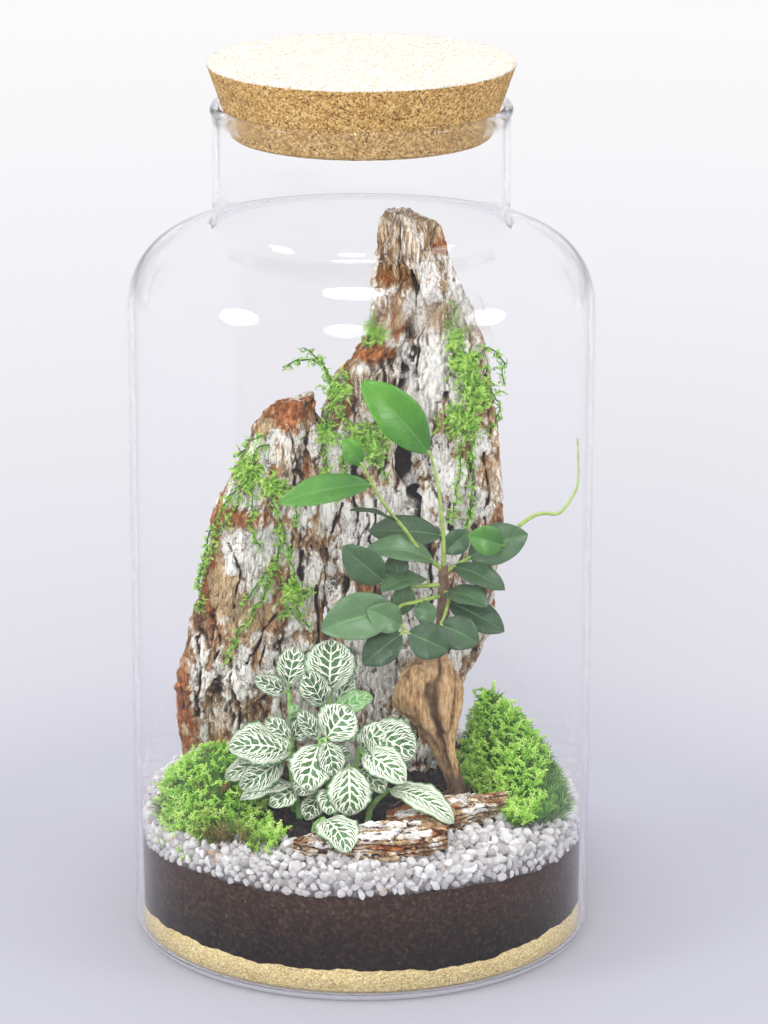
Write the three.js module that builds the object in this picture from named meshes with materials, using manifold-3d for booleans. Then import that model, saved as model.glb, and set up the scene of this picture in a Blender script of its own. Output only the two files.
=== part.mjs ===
// Glass plant terrarium: a clear jar with a cork stopper, planted with a ginseng fig, a white-veined fittonia
// and moss round two upright slabs of bark, over layers of sand, soil and pale gravel.
// Millimetres, +Z up, front towards -Y, origin under the middle of the jar on the surface it stands on.
import * as THREE from "three";
import { mergeVertices } from "three/addons/utils/BufferGeometryUtils.js";
import Module from "manifold-3d";

const wasm = await Module();
wasm.setup();

// ---------------------------------------------------------------- driving dimensions

const CLEARANCE = 0.35; // gap between pieces that touch

const JAR_RADIUS = 93.5;
const JAR_HEIGHT = 344;
const WALL = 3;
const FLOOR_THICKNESS = 4;
const SHOULDER_Z = 262; // where the straight wall ends
const NECK_RADIUS = 59.2;
const NECK_Z = 296.5; // where the neck starts
const ROUND_SIDES = 36; // facets round the jar and what fills it

const CORK_TOP_RADIUS = 61.6;
const CORK_BOTTOM_RADIUS = 51.2;
const CORK_THICKNESS = 30;
const CORK_PROUD = 17; // how far the stopper stands above the rim
const CORK_CHAMFER = 1.4;

const FILL_RADIUS = 90; // outer radius of sand, soil and gravel
const SAND_TOP = 15;
const SAND_WAVE = 1.1;
const GRAVEL_INNER = 72.3;
const GRAVEL_OUTER_TOP = 53;
const GRAVEL_INNER_TOP = 57.5;
const GRAVEL_WANDER = 1.8; // rise and fall of the bed
const PEBBLE_SPACING = 9;

// Top of the soil: radius, height. The outermost height follows soilLine().
const SOIL_MOUND = [
  [44, 61.5],
  [71.6, 57.5],
  [71.95, 50],
];
const SOIL_LINE_FRONT = 44.5; // soil seen through the glass at the front
const SOIL_LINE_SIDE = 41; // and at the sides and back

// Bark slabs as stacked sections. Upright: height, left, right, middle depth, thickness, tilt of the section.
const BARK_TALL = {
  axis: "z",
  seed: 1.7,
  relief: 1.25,
  around: 20,
  step: 10.4,
  crevice: { from: 150, to: 262, at: 21, lean: -0.03, width: 4.2, depth: 6.5 },
  rows: [
    [46, -13, 39, 25, 29, 0],
    [70, -15, 39.5, 25, 31, 0],
    [88, -16, 40, 24, 31, 0],
    [97, -16, 43.5, 24, 31, 0],
    [106, -16, 47, 24, 31, 0],
    [117, -15.5, 51.5, 24, 31, 0],
    [140, -16, 55.5, 24, 30, 0],
    [165, -17.5, 58.5, 24, 29, 0],
    [190, -19, 57, 24, 28, 0],
    [204, -18.5, 54, 24, 28, 0],
    [216, -15.5, 53, 24, 27, 0],
    [228, -11.5, 52, 24, 26, 1],
    [234, -5, 50.5, 24, 25, 0],
    [242, 0, 48.5, 24, 24, 0],
    [250, 3.2, 46.5, 24, 23, 0],
    [259, 4.6, 44, 24, 22, 0],
    [267, 4.2, 40, 24, 21, 0],
    [276, 4.8, 35, 24, 20, 0],
    [284, 5.6, 32.5, 24, 19, -1.5],
    [290.5, 7.5, 29, 24, 15, -3.2],
  ],
};
const BARK_LEFT = {
  axis: "z",
  seed: 4.1,
  relief: 1.2,
  around: 20,
  step: 10.4,
  rows: [
    [46, -74, -14, 24, 24, 0],
    [68, -76, -13.5, 24, 26, 0],
    [80, -76.5, -13.5, 23, 27, 0],
    [92, -76.5, -13.5, 22, 27, 0],
    [102, -76, -13.5, 22, 27, 0],
    [110, -73, -13.5, 22, 27, 0],
    [122, -70, -13.5, 22, 26, 0],
    [148, -65, -13.5, 22, 25, 0],
    [165, -61, -13.5, 22, 24, 0],
    [175, -57.5, -13.5, 22, 23, 0],
    [187, -53, -14, 22, 22, 0],
    [197, -46, -14.5, 22, 21, 0],
    [207, -43, -15.5, 22, 18, 0],
    [217, -35, -19, 22, 13, 2],
  ],
};
// Lying: place along X, front, back, middle height, thickness, tilt.
const BARK_FRONT_LEFT = {
  axis: "x",
  seed: 2.3,
  relief: 0.8,
  around: 14,
  step: 7,
  rows: [
    [-27, -75, -69, 59, 4, 0],
    [-20, -79, -66, 59.5, 8, 0],
    [-8, -82, -63, 60.5, 10, 0],
    [8, -82.5, -62, 61.5, 13, 0],
    [22, -81, -61, 62, 14, 0],
    [29, -78, -62, 62, 13, 0],
    [34, -75, -67, 62, 8, 0],
  ],
};
const BARK_FRONT_RIGHT = {
  axis: "x",
  seed: 5.9,
  relief: 0.7,
  around: 12,
  step: 7,
  rows: [
    [10, -60, -48, 62, 8, 0],
    [22, -60.5, -43, 63, 12, 0],
    [34, -60, -40, 63.5, 13, 0],
    [46, -50, -34, 63.5, 12, 0],
    [59, -38, -28, 63.5, 7, 0],
  ],
};

// Fig trunk: height, left, right, middle depth, thickness.
const FIG_TRUNK = [
  [52, 35, 44, -17, 9],
  [61, 35, 42.5, -17, 7.5],
  [70, 33, 40, -17.5, 8],
  [79, 29, 38.5, -18, 10],
  [89, 23, 38.5, -18, 14],
  [99, 13.5, 39, -18, 18],
  [108, 13.5, 39, -18, 18],
  [116, 18, 36.5, -18, 14],
  [121, 25, 35, -18, 9],
  [126, 29, 34.6, -18, 5.4],
  [142, 30.5, 35.3, -17.5, 4.6],
  [158, 31.2, 34.8, -17, 3.4],
];
const TRUNK_SIDES = 10;

const BLADE = 0.8; // thickness of leaf blades
const STALK_BACK = 2; // how far behind the foot of a blade its stalk leaves the stem

// Half width of a blade from its foot to its tip, as parts of the leaf's length and half width.
const FIG_OUTLINE = [
  [0, 0.1],
  [0.2, 0.68],
  [0.48, 1],
  [0.78, 0.7],
  [1, 0.07],
];
const FITTONIA_OUTLINE = [
  [0, 0.2],
  [0.18, 0.82],
  [0.45, 1],
  [0.77, 0.74],
  [1, 0.08],
];

// Leaf rows: foot x, y, z, tip x, y, z, width, direction that the upper side faces x, y, z.
// Stem rows: points of the stem, from the trunk outwards.
const FIG_SHOOTS = {
  fig_shoot_top: {
    stem: [[33, -17, 154], [33, -16, 168], [31, -16, 189], [28, -18, 203], [26.5, -19, 207]],
    thickness: [1.7, 1.1],
    leaves: [
      [26.5, -19, 206, 1, -26, 237, 16.5, 0.3, -1, 0.35],
      [32.5, -14.5, 170, 3, -16.5, 173, 12, 0, -0.8, 0.6],
      [33, -15.5, 163, 43, -12, 171, 9, 0.2, -1, 0.3],
    ],
  },
  fig_shoot_left: {
    stem: [[33, -17, 156], [24, -21, 165], [17, -25, 176], [13, -26, 181], [6, -28, 192], [0, -30, 205]],
    thickness: [1.6, 1.1],
    leaves: [
      [0, -30, 204, -7, -33, 215, 8, 0.3, -1, 0.5],
      [4, -28.5, 195.5, -33, -34, 190, 11, 0, -0.8, 0.6],
      [15, -25.5, 179, -4, -32, 187, 9, 0, 0.05, 1],
      [29, -19, 160.5, 2, -33, 170, 11.5, 0.1, -0.6, 0.8],
    ],
  },
  fig_shoot_right: {
    stem: [
      [33, -17, 155], [45, -13, 161], [53, -12, 165], [67, -9, 175], [73, -7, 177], [80, -3, 176],
      [86, 0, 183], [88, 1, 190], [87.5, 2, 206],
    ],
    thickness: [1.6, 0.7],
    leaves: [
      [43, -13.5, 160.5, 66.5, -15, 171, 15, 0.1, -0.9, 0.6],
      [57, -17.5, 166.5, 43, -25, 173, 11, 0, -1, 0.4],
      [37, -16, 157.5, 57, -30, 153, 10, 0, -0.6, 0.8],
    ],
  },
  fig_leaves_middle: {
    stem: [[33, -17, 150], [24, -22, 151], [14, -27.5, 152.5], [9.5, -30.5, 154]],
    thickness: [1.5, 1],
    leaves: [
      [9, -31, 156, -7, -38, 172, 13, -0.2, -1, 0.3],
      [15, -27, 155, 13, -25, 165.5, 9, 0, -1, 0.3],
      [26, -22, 154, 8, -37, 154.5, 11, 0, -0.35, 1],
      [16.5, -25.5, 154, 16, -26, 139.5, 9, 0.3, -1, 0.1],
    ],
  },
  fig_leaves_low: {
    stem: [[33, -17, 145.5], [22, -27, 146], [15, -34, 146], [16, -37, 141], [17, -38, 137]],
    thickness: [1.5, 1],
    leaves: [
      [14, -34.5, 145.5, -16, -44, 140, 17, -0.1, -1, 0.5],
      [16, -39, 136.5, 0.5, -45, 126, 12, 0, -1, 0.5],
      [16, -38, 139.5, 2.5, -42, 147.5, 11, -0.1, -1, 0.5],
      [18.5, -39.5, 137, 34.5, -43.5, 131, 13.5, 0, -1, 0.5],
      [24, -25, 146, 27, -31, 136.5, 8, 0.2, -1, 0.1],
    ],
  },
  fig_leaves_right: {
    stem: [[33, -17, 148], [35, -23, 146], [33, -30, 140.5], [31.5, -33, 138.5]],
    thickness: [1.5, 1],
    leaves: [
      [35, -24, 145, 57, -33, 136, 12, 0, -0.8, 0.7],
      [34, -20, 148, 50, -36, 148, 11, 0, -0.5, 0.9],
      [31.5, -33, 138.5, 46.5, -38, 132.5, 13, 0.1, -1, 0.5],
    ],
  },
};

const STEM_RADIUS = 1.3;
const STALK_RADIUS = 0.9;
const FITTONIA_STEMS = {
  fittonia_stem_back_left: {
    stem: [[-27, -37, 55], [-28, -38, 78], [-28, -37, 96], [-29, -34, 110]],
    leaves: [
      [-29.5, -33, 113, -26.5, -31, 128, 12, 0, -0.9, 0.3],
      [-30, -34, 110, -42, -40, 118, 8, -0.3, -0.8, 0.5],
      [-28, -37, 99, -26.5, -41, 107, 5, 0.4, -0.9, 0.2],
    ],
  },
  fittonia_stem_back: {
    stem: [[-14, -35, 55], [-13, -35, 80], [-13, -35, 98], [-13, -36, 110]],
    leaves: [
      [-13, -36, 111, -12, -30, 131, 20, 0, -1, 0.4],
      [-15, -38, 106, -22, -42, 121, 12, 0, -1, 0.3],
      [-11, -34, 104, -4.5, -27, 116, 9, 0.2, -1, 0.3],
      [-11, -37, 103, 4, -37, 110, 9, 0, -0.8, 0.7],
    ],
  },
  fittonia_stem_left: {
    stem: [[-24, -43, 55], [-27, -42.5, 74], [-29, -42, 88]],
    leaves: [
      [-29, -42, 88, -52, -51, 94, 19, -0.1, -0.7, 0.8],
      [-28.5, -41, 92.3, -38, -39, 101, 8, 0, -0.8, 0.6],
      [-31, -43, 85.5, -48, -52, 76, 12, 0.2, -0.9, 0.3],
      [-31.5, -40.5, 85.5, -55, -44, 78, 10.5, -0.5, -0.8, 0.4],
      [-27, -43.5, 74, -48, -53, 73, 9, 0, -0.5, 0.9],
    ],
  },
  fittonia_stem_middle: {
    stem: [[-17, -44, 55], [-17, -44.5, 76], [-16, -46, 94]],
    leaves: [
      [-17, -46, 92, -22, -57, 77, 17, -0.1, -0.9, 0.5],
      [-14, -50, 95, -10.5, -59, 84, 11, 0.2, -0.9, 0.4],
      [-14, -46.5, 95, -4.5, -44, 107, 17, 0, -0.9, 0.5],
      [-17, -43, 93, -24.5, -42, 105, 8, 0, -1, 0.3],
    ],
  },
  fittonia_stem_right: {
    stem: [[-6, -41, 55], [-3, -41, 78], [1, -41, 94]],
    leaves: [
      [2, -41, 96, 21, -50, 90, 19, 0, -0.9, 0.5],
      [1, -46, 88, 17, -62, 83.5, 14, 0.1, -0.8, 0.6],
    ],
  },
  fittonia_stem_front: {
    stem: [[-11, -50, 55], [-9, -50.5, 72], [-5, -52, 84]],
    leaves: [
      [-5, -53.5, 85.5, -4.5, -60.5, 67.5, 17, 0, -0.9, 0.4],
      [-10.5, -51.5, 75, -13, -60.5, 68.5, 12, 0, -0.7, 0.7],
    ],
  },
  fittonia_stem_low: {
    stem: [[-19, -57, 53], [-18.5, -58, 62], [-15, -64, 67.5]],
    leaves: [[-14.5, -65, 67.5, -5, -85.5, 63.5, 16, 0, -0.3, 1]],
  },
  fittonia_stem_low_right: {
    stem: [[2, -47, 55], [4, -47, 66], [11, -49.5, 74.5]],
    leaves: [[11.5, -50, 74.5, 36.5, -64, 67.5, 12, 0, -0.6, 0.8]],
  },
};

// Moss clumps at the foot: middle, half sizes, foot and top height, lean of the top, turn, slope of the
// sides, points round a ring.
const MOSS_CLUMPS = {
  moss_left: {
    middle: [-61, -37],
    half: [26, 45],
    foot: 45,
    top: 81,
    lean: [2, 16],
    turn: -0.35,
    slope: 0.55,
    around: 20,
    seed: 11,
  },
  moss_right: {
    middle: [66, -9],
    half: [22, 38],
    foot: 45,
    top: 95,
    lean: [-13, 22],
    turn: 0.25,
    slope: 0.8,
    around: 20,
    seed: 23,
  },
};
const MOSS_REACH = 88; // furthest from the axis, inside the glass
const STRAND_LIFT = 2.2; // from the bark to the middle of a strand of moss

// Moss on the bark: cores (x, z, radius) and strands (x, z points) on the front of a slab.
const BARK_SPRAYS = {
  moss_spray_left_edge: {
    bark: BARK_LEFT,
    cores: [[-47, 187, 6.5]],
    strands: [
      [[-46, 190], [-42, 198], [-38, 200]],
      [[-46, 188], [-54, 178], [-59, 166], [-63, 153], [-67, 139]],
      [[-50, 180], [-57, 164], [-64, 146], [-66, 130]],
      [[-46, 188], [-40, 186], [-34, 183]],
    ],
    seed: 31,
  },
  moss_spray_left_face: {
    bark: BARK_LEFT,
    cores: [[-33, 166, 4.5]],
    strands: [
      [[-33, 168], [-36, 178], [-30, 184]],
      [[-33, 166], [-34, 152], [-42, 143], [-48, 134]],
      [[-33, 166], [-28, 150], [-26, 136], [-33, 128]],
      [[-34, 152], [-40, 136], [-52, 120], [-55, 108]],
    ],
    seed: 37,
  },
  moss_spray_middle: {
    bark: BARK_TALL,
    cores: [[-8, 219, 6.5], [0, 203, 7]],
    strands: [
      [[-8, 219], [-5, 211], [0, 203]],
      [[-10, 222], [-15, 227], [-17, 230]],
      [[-10, 220], [-13, 207], [-13, 192], [-11, 178]],
      [[-2, 206], [-6, 195], [-8, 183]],
      [[3, 200], [8, 192], [10, 186]],
    ],
    seed: 41,
  },
  moss_spray_right: {
    bark: BARK_TALL,
    cores: [[42, 230, 6], [46, 215, 8.5]],
    strands: [
      [[42, 230], [44, 222], [46, 215]],
      [[42, 230], [38, 243], [38, 250]],
      [[44, 212], [40, 200], [38, 186], [37, 170]],
      [[46, 212], [44, 197], [45, 182], [43, 166]],
    ],
    seed: 43,
  },
  moss_spray_top: {
    bark: BARK_TALL,
    cores: [[5.5, 247, 2.8]],
    strands: [
      [[5.5, 247], [6, 256]],
      [[5.5, 247], [2.5, 240]],
    ],
    seed: 47,
  },
};

// ---------------------------------------------------------------- finishes

const FINISHES = {
  glass: { color: 0xe4ebee, roughness: 0.03, metalness: 0 },
  cork: { color: 0xc79a63, roughness: 0.9, metalness: 0 },
  sand: { color: 0xd8c49a, roughness: 0.95, metalness: 0 },
  soil: { color: 0x2b1b14, roughness: 0.95, metalness: 0 },
  gravel: { color: 0xd9d8da, roughness: 0.85, metalness: 0 },
  bark: { color: 0x96684a, roughness: 0.92, metalness: 0 },
  trunk: { color: 0xa57c4d, roughness: 0.85, metalness: 0 },
  fig_leaf: { color: 0x3f8a4a, roughness: 0.4, metalness: 0 },
  fittonia_leaf: { color: 0x8fb98b, roughness: 0.5, metalness: 0 },
  moss: { color: 0x63b03a, roughness: 0.9, metalness: 0 },
};

const terrarium = new THREE.Group();

// ---------------------------------------------------------------- helpers

// Repeatable random draws between 0 and 1.
function draws(seed) {
  let state = seed;
  return () => {
    state = (state + 0x6d2b79f5) | 0;
    let mixed = Math.imul(state ^ (state >>> 15), 1 | state);
    mixed = (mixed + Math.imul(mixed ^ (mixed >>> 7), 61 | mixed)) ^ mixed;
    return ((mixed ^ (mixed >>> 14)) >>> 0) / 4294967296;
  };
}

function mix(a, b, part) {
  return a + (b - a) * part;
}

// Row of a table at a place between its rows. The first column is the place.
function rowAt(rows, place) {
  const last = rows.length - 1;
  let i = 0;
  while (i < last - 1 && rows[i + 1][0] < place) {
    i += 1;
  }
  const span = rows[i + 1][0] - rows[i][0];
  const part = THREE.MathUtils.clamp((place - rows[i][0]) / span, 0, 1);
  return rows[i].map((value, k) => mix(value, rows[i + 1][k], part));
}

function geometryOf(points, faces) {
  const positions = new Float32Array(points.flatMap((p) => [p.x, p.y, p.z]));
  return new THREE.BufferGeometry()
    .setAttribute("position", new THREE.BufferAttribute(positions, 3))
    .setIndex(faces);
}

// A closed three.js geometry as a solid that can be joined and cut.
function solidOf(geometry) {
  const bare = geometry.clone();
  bare.deleteAttribute("normal");
  bare.deleteAttribute("uv");
  const merged = mergeVertices(bare, 1e-4);
  return new wasm.Manifold(
    new wasm.Mesh({
      numProp: 3,
      vertProperties: merged.attributes.position.array,
      triVerts: new Uint32Array(merged.index.array),
    }),
  );
}

function joined(solids) {
  return solids.reduce((whole, next) => whole.add(next));
}

// The largest body of a solid, without the scraps that a cut leaves.
function largest(solid) {
  const bodies = solid.decompose();
  bodies.sort((a, b) => b.volume() - a.volume());
  return bodies[0];
}

function addPiece(name, solid, finish) {
  const { vertProperties, triVerts } = solid.getMesh();
  const geometry = new THREE.BufferGeometry()
    .setAttribute("position", new THREE.BufferAttribute(vertProperties, 3))
    .setIndex(new THREE.BufferAttribute(triVerts, 1));
  geometry.computeVertexNormals();
  const mesh = new THREE.Mesh(geometry, new THREE.MeshStandardMaterial(FINISHES[finish]));
  mesh.name = name;
  terrarium.add(mesh);
}

// Closed body through rings of equal point counts, each anticlockwise seen from the last one's side.
function loft(rings) {
  const sides = rings[0].length;
  const points = rings.flat();
  const faces = [];
  for (let i = 0; i < rings.length - 1; i++) {
    for (let k = 0; k < sides; k++) {
      const a = i * sides + k;
      const b = i * sides + ((k + 1) % sides);
      faces.push(a, b, b + sides, a, b + sides, a + sides);
    }
  }
  const top = (rings.length - 1) * sides;
  if (sides === 3) {
    faces.push(0, 2, 1, top, top + 1, top + 2);
    return solidOf(geometryOf(points, faces));
  }
  const middle = (ring) =>
    ring.reduce((sum, p) => sum.add(p), new THREE.Vector3()).divideScalar(sides);
  const first = points.push(middle(rings[0])) - 1;
  const last = points.push(middle(rings.at(-1))) - 1;
  for (let k = 0; k < sides; k++) {
    faces.push(first, (k + 1) % sides, k);
    faces.push(last, top + k, top + ((k + 1) % sides));
  }
  return solidOf(geometryOf(points, faces));
}

// Tapered stem along a smooth line through points.
function stem(points, startRadius, endRadius, sides = 4, steps = Math.round(points.length * 1.5) - 1) {
  const line = new THREE.CatmullRomCurve3(points.map((p) => new THREE.Vector3(...p)));
  const frames = line.computeFrenetFrames(steps);
  const rings = [];
  for (let i = 0; i <= steps; i++) {
    const at = line.getPointAt(i / steps);
    const radius = mix(startRadius, endRadius, i / steps);
    const ring = [];
    for (let k = 0; k < sides; k++) {
      const angle = (k / sides) * 2 * Math.PI;
      ring.push(
        at
          .clone()
          .addScaledVector(frames.normals[i], radius * Math.cos(angle))
          .addScaledVector(frames.binormals[i], radius * Math.sin(angle)),
      );
    }
    rings.push(ring);
  }
  return loft(rings);
}

// Leaf on its stalk, as one strip three points wide: from inside the stem to the foot of the blade, then
// along the blade to its tip. The blade is folded along the midrib and arched along its length.
function leaf(row, stemPoints, outline, fold, arch, wave) {
  const foot = new THREE.Vector3(row[0], row[1], row[2]);
  const tip = new THREE.Vector3(row[3], row[4], row[5]);
  const halfWidth = row[6] / 2;
  const along = tip.clone().sub(foot);
  const length = along.length();
  along.normalize();
  const up = new THREE.Vector3(row[7], row[8], row[9]);
  up.addScaledVector(along, -up.dot(along)).normalize();
  const across = up.clone().cross(along);
  const upper = [];
  const lower = [];
  const addRow = (middle, half, rowUp, rowAcross, edgeLift, ripple) => {
    for (const side of [-1, 0, 1]) {
      const point = middle
        .clone()
        .addScaledVector(rowAcross, side * half)
        .addScaledVector(rowUp, Math.abs(side) * edgeLift + side * ripple);
      upper.push(point);
      lower.push(point.clone().addScaledVector(rowUp, -BLADE));
    }
  };

  const line = new THREE.CatmullRomCurve3(stemPoints.map((p) => new THREE.Vector3(...p)));
  const wanted = foot.clone().addScaledVector(along, -STALK_BACK);
  const places = line.getSpacedPoints(40);
  places.sort((p, q) => p.distanceTo(wanted) - q.distanceTo(wanted));
  const way = foot.clone().sub(places[0]);
  if (way.length() < 1 || way.dot(along) < 0.3 * way.length()) {
    way.addScaledVector(along, 1.2);
  }
  const start = foot.clone().sub(way);
  way.normalize();
  const stalkAcross = across.clone().addScaledVector(way, -across.dot(way)).normalize();
  const stalkUp = way.clone().cross(stalkAcross);
  addRow(start.addScaledVector(stalkUp, BLADE / 2), 0.55, stalkUp, stalkAcross, 0, 0);

  outline.forEach(([part, share], i) => {
    const half = Math.max(halfWidth * share, BLADE / 2);
    const rise = arch * length * 4 * part * (1 - part);
    const middle = foot.clone().addScaledVector(along, part * length).addScaledVector(up, rise);
    addRow(middle, half, up, across, fold * half, (i % 2 ? wave : -wave) * share);
  });

  const points = [...upper, ...lower];
  const under = upper.length;
  const last = outline.length;
  const faces = [];
  const quad = (a, b, c, d) => faces.push(a, b, c, a, c, d);
  for (let i = 0; i < last; i++) {
    const a = i * 3;
    for (const j of [0, 1]) {
      quad(a + j, a + j + 3, a + j + 4, a + j + 1);
      const b = under + a + j;
      faces.push(b, b + 4, b + 3, b, b + 1, b + 4);
    }
    quad(under + a, under + a + 3, a + 3, a);
    quad(a + 2, a + 5, under + a + 5, under + a + 2);
  }
  for (const j of [0, 1]) {
    quad(j, j + 1, under + j + 1, under + j);
    const end = last * 3 + j;
    quad(under + end, under + end + 1, end + 1, end);
  }
  return solidOf(geometryOf(points, faces));
}

// ---------------------------------------------------------------- jar and stopper

// Surface of revolution about Z of a profile of [radius, height] that starts and ends on the axis.
function turned(profile) {
  const outline = profile.map(([radius, z]) => new THREE.Vector2(radius, z));
  return solidOf(new THREE.LatheGeometry(outline, ROUND_SIDES).rotateX(Math.PI / 2));
}

// Quarter of an ellipse from the straight wall in to the neck.
function shoulder(wallRadius, neckRadius, wallZ, neckZ, steps) {
  const curve = [];
  for (let i = 0; i <= steps; i++) {
    const angle = (i / steps) * (Math.PI / 2);
    curve.push([
      neckRadius + (wallRadius - neckRadius) * Math.cos(angle),
      wallZ + (neckZ - wallZ) * Math.sin(angle),
    ]);
  }
  return curve;
}

function makeJar() {
  const inner = JAR_RADIUS - WALL;
  const neckInner = NECK_RADIUS - WALL;
  const outside = shoulder(JAR_RADIUS, NECK_RADIUS + 1.5, SHOULDER_Z, NECK_Z - 1, 4);
  const inside = shoulder(inner, neckInner + 1, SHOULDER_Z, NECK_Z - WALL, 4).reverse();
  addPiece(
    "jar",
    turned([
      [0, 0],
      [JAR_RADIUS - 4, 0],
      [JAR_RADIUS, 4],
      ...outside,
      [NECK_RADIUS, NECK_Z + 2],
      [NECK_RADIUS, JAR_HEIGHT - 2.2],
      [NECK_RADIUS - 0.6, JAR_HEIGHT - 0.5],
      [NECK_RADIUS - 1.5, JAR_HEIGHT],
      [neckInner, JAR_HEIGHT - 0.8],
      [neckInner, NECK_Z - WALL + 3],
      ...inside,
      [inner, FLOOR_THICKNESS + 3],
      [inner - 3, FLOOR_THICKNESS],
      [0, FLOOR_THICKNESS],
    ]),
    "glass",
  );
}

function makeCork() {
  const top = JAR_HEIGHT + CORK_PROUD;
  const bottom = top - CORK_THICKNESS;
  const taper = (CORK_TOP_RADIUS - CORK_BOTTOM_RADIUS) / CORK_THICKNESS;
  addPiece(
    "cork_stopper",
    turned([
      [0, bottom],
      [CORK_BOTTOM_RADIUS - CORK_CHAMFER, bottom],
      [CORK_BOTTOM_RADIUS + CORK_CHAMFER * taper, bottom + CORK_CHAMFER],
      [CORK_TOP_RADIUS - CORK_CHAMFER * taper, top - CORK_CHAMFER],
      [CORK_TOP_RADIUS - CORK_CHAMFER, top],
      [0, top],
    ]),
    "cork",
  );
}

// ---------------------------------------------------------------- sand, soil and gravel

function sandLine(angle) {
  return SAND_TOP + SAND_WAVE * (Math.sin(3 * angle + 0.6) + 0.5 * Math.sin(7 * angle));
}

function soilLine(angle) {
  const front = (1 - Math.sin(angle)) / 2;
  const wave = 0.7 * Math.sin(5 * angle + 1);
  return mix(SOIL_LINE_SIDE, SOIL_LINE_FRONT, front ** 3) + wave;
}

function moundHeight(radius, height, angle) {
  const bump = radius > 0 && radius < GRAVEL_INNER - 4 ? 0.8 * Math.sin(4 * angle + radius) : 0;
  return height + bump;
}

function around(radius, angle, z) {
  return new THREE.Vector3(radius * Math.cos(angle), radius * Math.sin(angle), z);
}

function angleOf(k) {
  return (k / ROUND_SIDES) * 2 * Math.PI;
}

function circle(radius, height) {
  return Array.from({ length: ROUND_SIDES }, (_, k) => around(radius, angleOf(k), height(angleOf(k))));
}

function makeSand() {
  const floor = FLOOR_THICKNESS + CLEARANCE;
  const body = loft([
    circle(FILL_RADIUS - 3, () => floor),
    circle(FILL_RADIUS, sandLine),
    circle(FILL_RADIUS / 3, () => SAND_TOP),
  ]);
  addPiece("sand_layer", body, "sand");
}

// Soil whose top is raised by lift: the piece itself, or the room that pieces on it leave.
function soilBody(lift) {
  const sandGap = (angle) => sandLine(angle) + CLEARANCE;
  const rings = [
    circle(FILL_RADIUS / 3, () => SAND_TOP + CLEARANCE),
    circle(FILL_RADIUS, sandGap),
    circle(FILL_RADIUS, (angle) => soilLine(angle) + lift),
  ];
  for (const [radius, height] of SOIL_MOUND.toReversed()) {
    rings.push(circle(radius, (angle) => moundHeight(radius, height, angle) + lift));
  }
  return loft(rings);
}

// Closed ring body through circles of points that follow each other round its section.
function ringBody(circles) {
  const sides = circles[0].length;
  const faces = [];
  for (let i = 0; i < circles.length; i++) {
    const next = (i + 1) % circles.length;
    for (let k = 0; k < sides; k++) {
      const turn = (k + 1) % sides;
      const a = i * sides + k;
      const b = i * sides + turn;
      const c = next * sides + turn;
      const d = next * sides + k;
      faces.push(a, b, c, a, c, d);
    }
  }
  return solidOf(geometryOf(circles.flat(), faces));
}

// Ring of gravel round the mound. Its top is an uneven relief of stones.
function gravelBed() {
  const random = draws(5);
  const sides = 2 * ROUND_SIDES;
  const uneven = (radius, height, wander) =>
    Array.from({ length: sides }, (_, k) => {
      const angle = (k / sides) * 2 * Math.PI;
      const rise = wander * (2 * random() - 1);
      const shift = 0.5 * wander * (2 * random() - 1);
      return around(Math.min(radius + shift, FILL_RADIUS), angle, height(angle) + rise);
    });
  const slope = (part) => () => mix(GRAVEL_INNER_TOP, GRAVEL_OUTER_TOP, part);
  const span = FILL_RADIUS - GRAVEL_INNER;
  return ringBody([
    uneven(GRAVEL_INNER, () => SOIL_MOUND.at(-1)[1] + CLEARANCE, 0),
    uneven(FILL_RADIUS, (angle) => soilLine(angle) + CLEARANCE, 0),
    uneven(FILL_RADIUS, slope(1.35), 0.8 * GRAVEL_WANDER),
    uneven(FILL_RADIUS - 0.25 * span, slope(0.8), GRAVEL_WANDER),
    uneven(FILL_RADIUS - 0.6 * span, slope(0.4), GRAVEL_WANDER),
    uneven(GRAVEL_INNER, slope(0), 0),
  ]);
}

// Room over the gravel that the moss leaves, without the relief.
function gravelRoom() {
  const lift = 0.85 * GRAVEL_WANDER + CLEARANCE;
  return ringBody([
    circle(GRAVEL_INNER, () => SAND_TOP),
    circle(FILL_RADIUS + 1, () => SAND_TOP),
    circle(FILL_RADIUS + 1, () => GRAVEL_OUTER_TOP + lift),
    circle(GRAVEL_INNER, () => GRAVEL_INNER_TOP + lift),
  ]);
}

// One angular stone: a block with shifted corners, turned at random.
function pebble(random, centre, size) {
  const shape = new THREE.BoxGeometry(size * 1.5, size * 1.3, size * 1.1);
  shape.deleteAttribute("normal");
  shape.deleteAttribute("uv");
  const stone = mergeVertices(shape, 1e-4);
  const corners = stone.attributes.position;
  for (let i = 0; i < corners.count; i++) {
    corners.setXYZ(
      i,
      corners.getX(i) * mix(0.7, 1.15, random()),
      corners.getY(i) * mix(0.7, 1.15, random()),
      corners.getZ(i) * mix(0.7, 1.15, random()),
    );
  }
  stone.rotateX(mix(-0.7, 0.7, random()));
  stone.rotateY(mix(-0.7, 0.7, random()));
  stone.rotateZ(random() * 6.3);
  stone.translate(centre.x, centre.y, centre.z);
  return solidOf(stone);
}

// Stones over the whole bed, apart from where something else covers it.
function makePebbles(blocked) {
  const random = draws(7);
  const centres = [];
  for (let i = 0; i < 1500; i++) {
    const part = random();
    const radius = mix(GRAVEL_INNER + 5, FILL_RADIUS - 5.4, part);
    const height = mix(GRAVEL_INNER_TOP - 1, GRAVEL_OUTER_TOP, part) + 0.6;
    const centre = around(radius, random() * 2 * Math.PI, height);
    const crowded = centres.some((other) => other.distanceTo(centre) < PEBBLE_SPACING);
    if (!crowded && !blocked(centre)) {
      centres.push(centre);
    }
  }
  return centres.map((centre) => pebble(random, centre, mix(4.1, 5, random())));
}

// ---------------------------------------------------------------- bark

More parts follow.
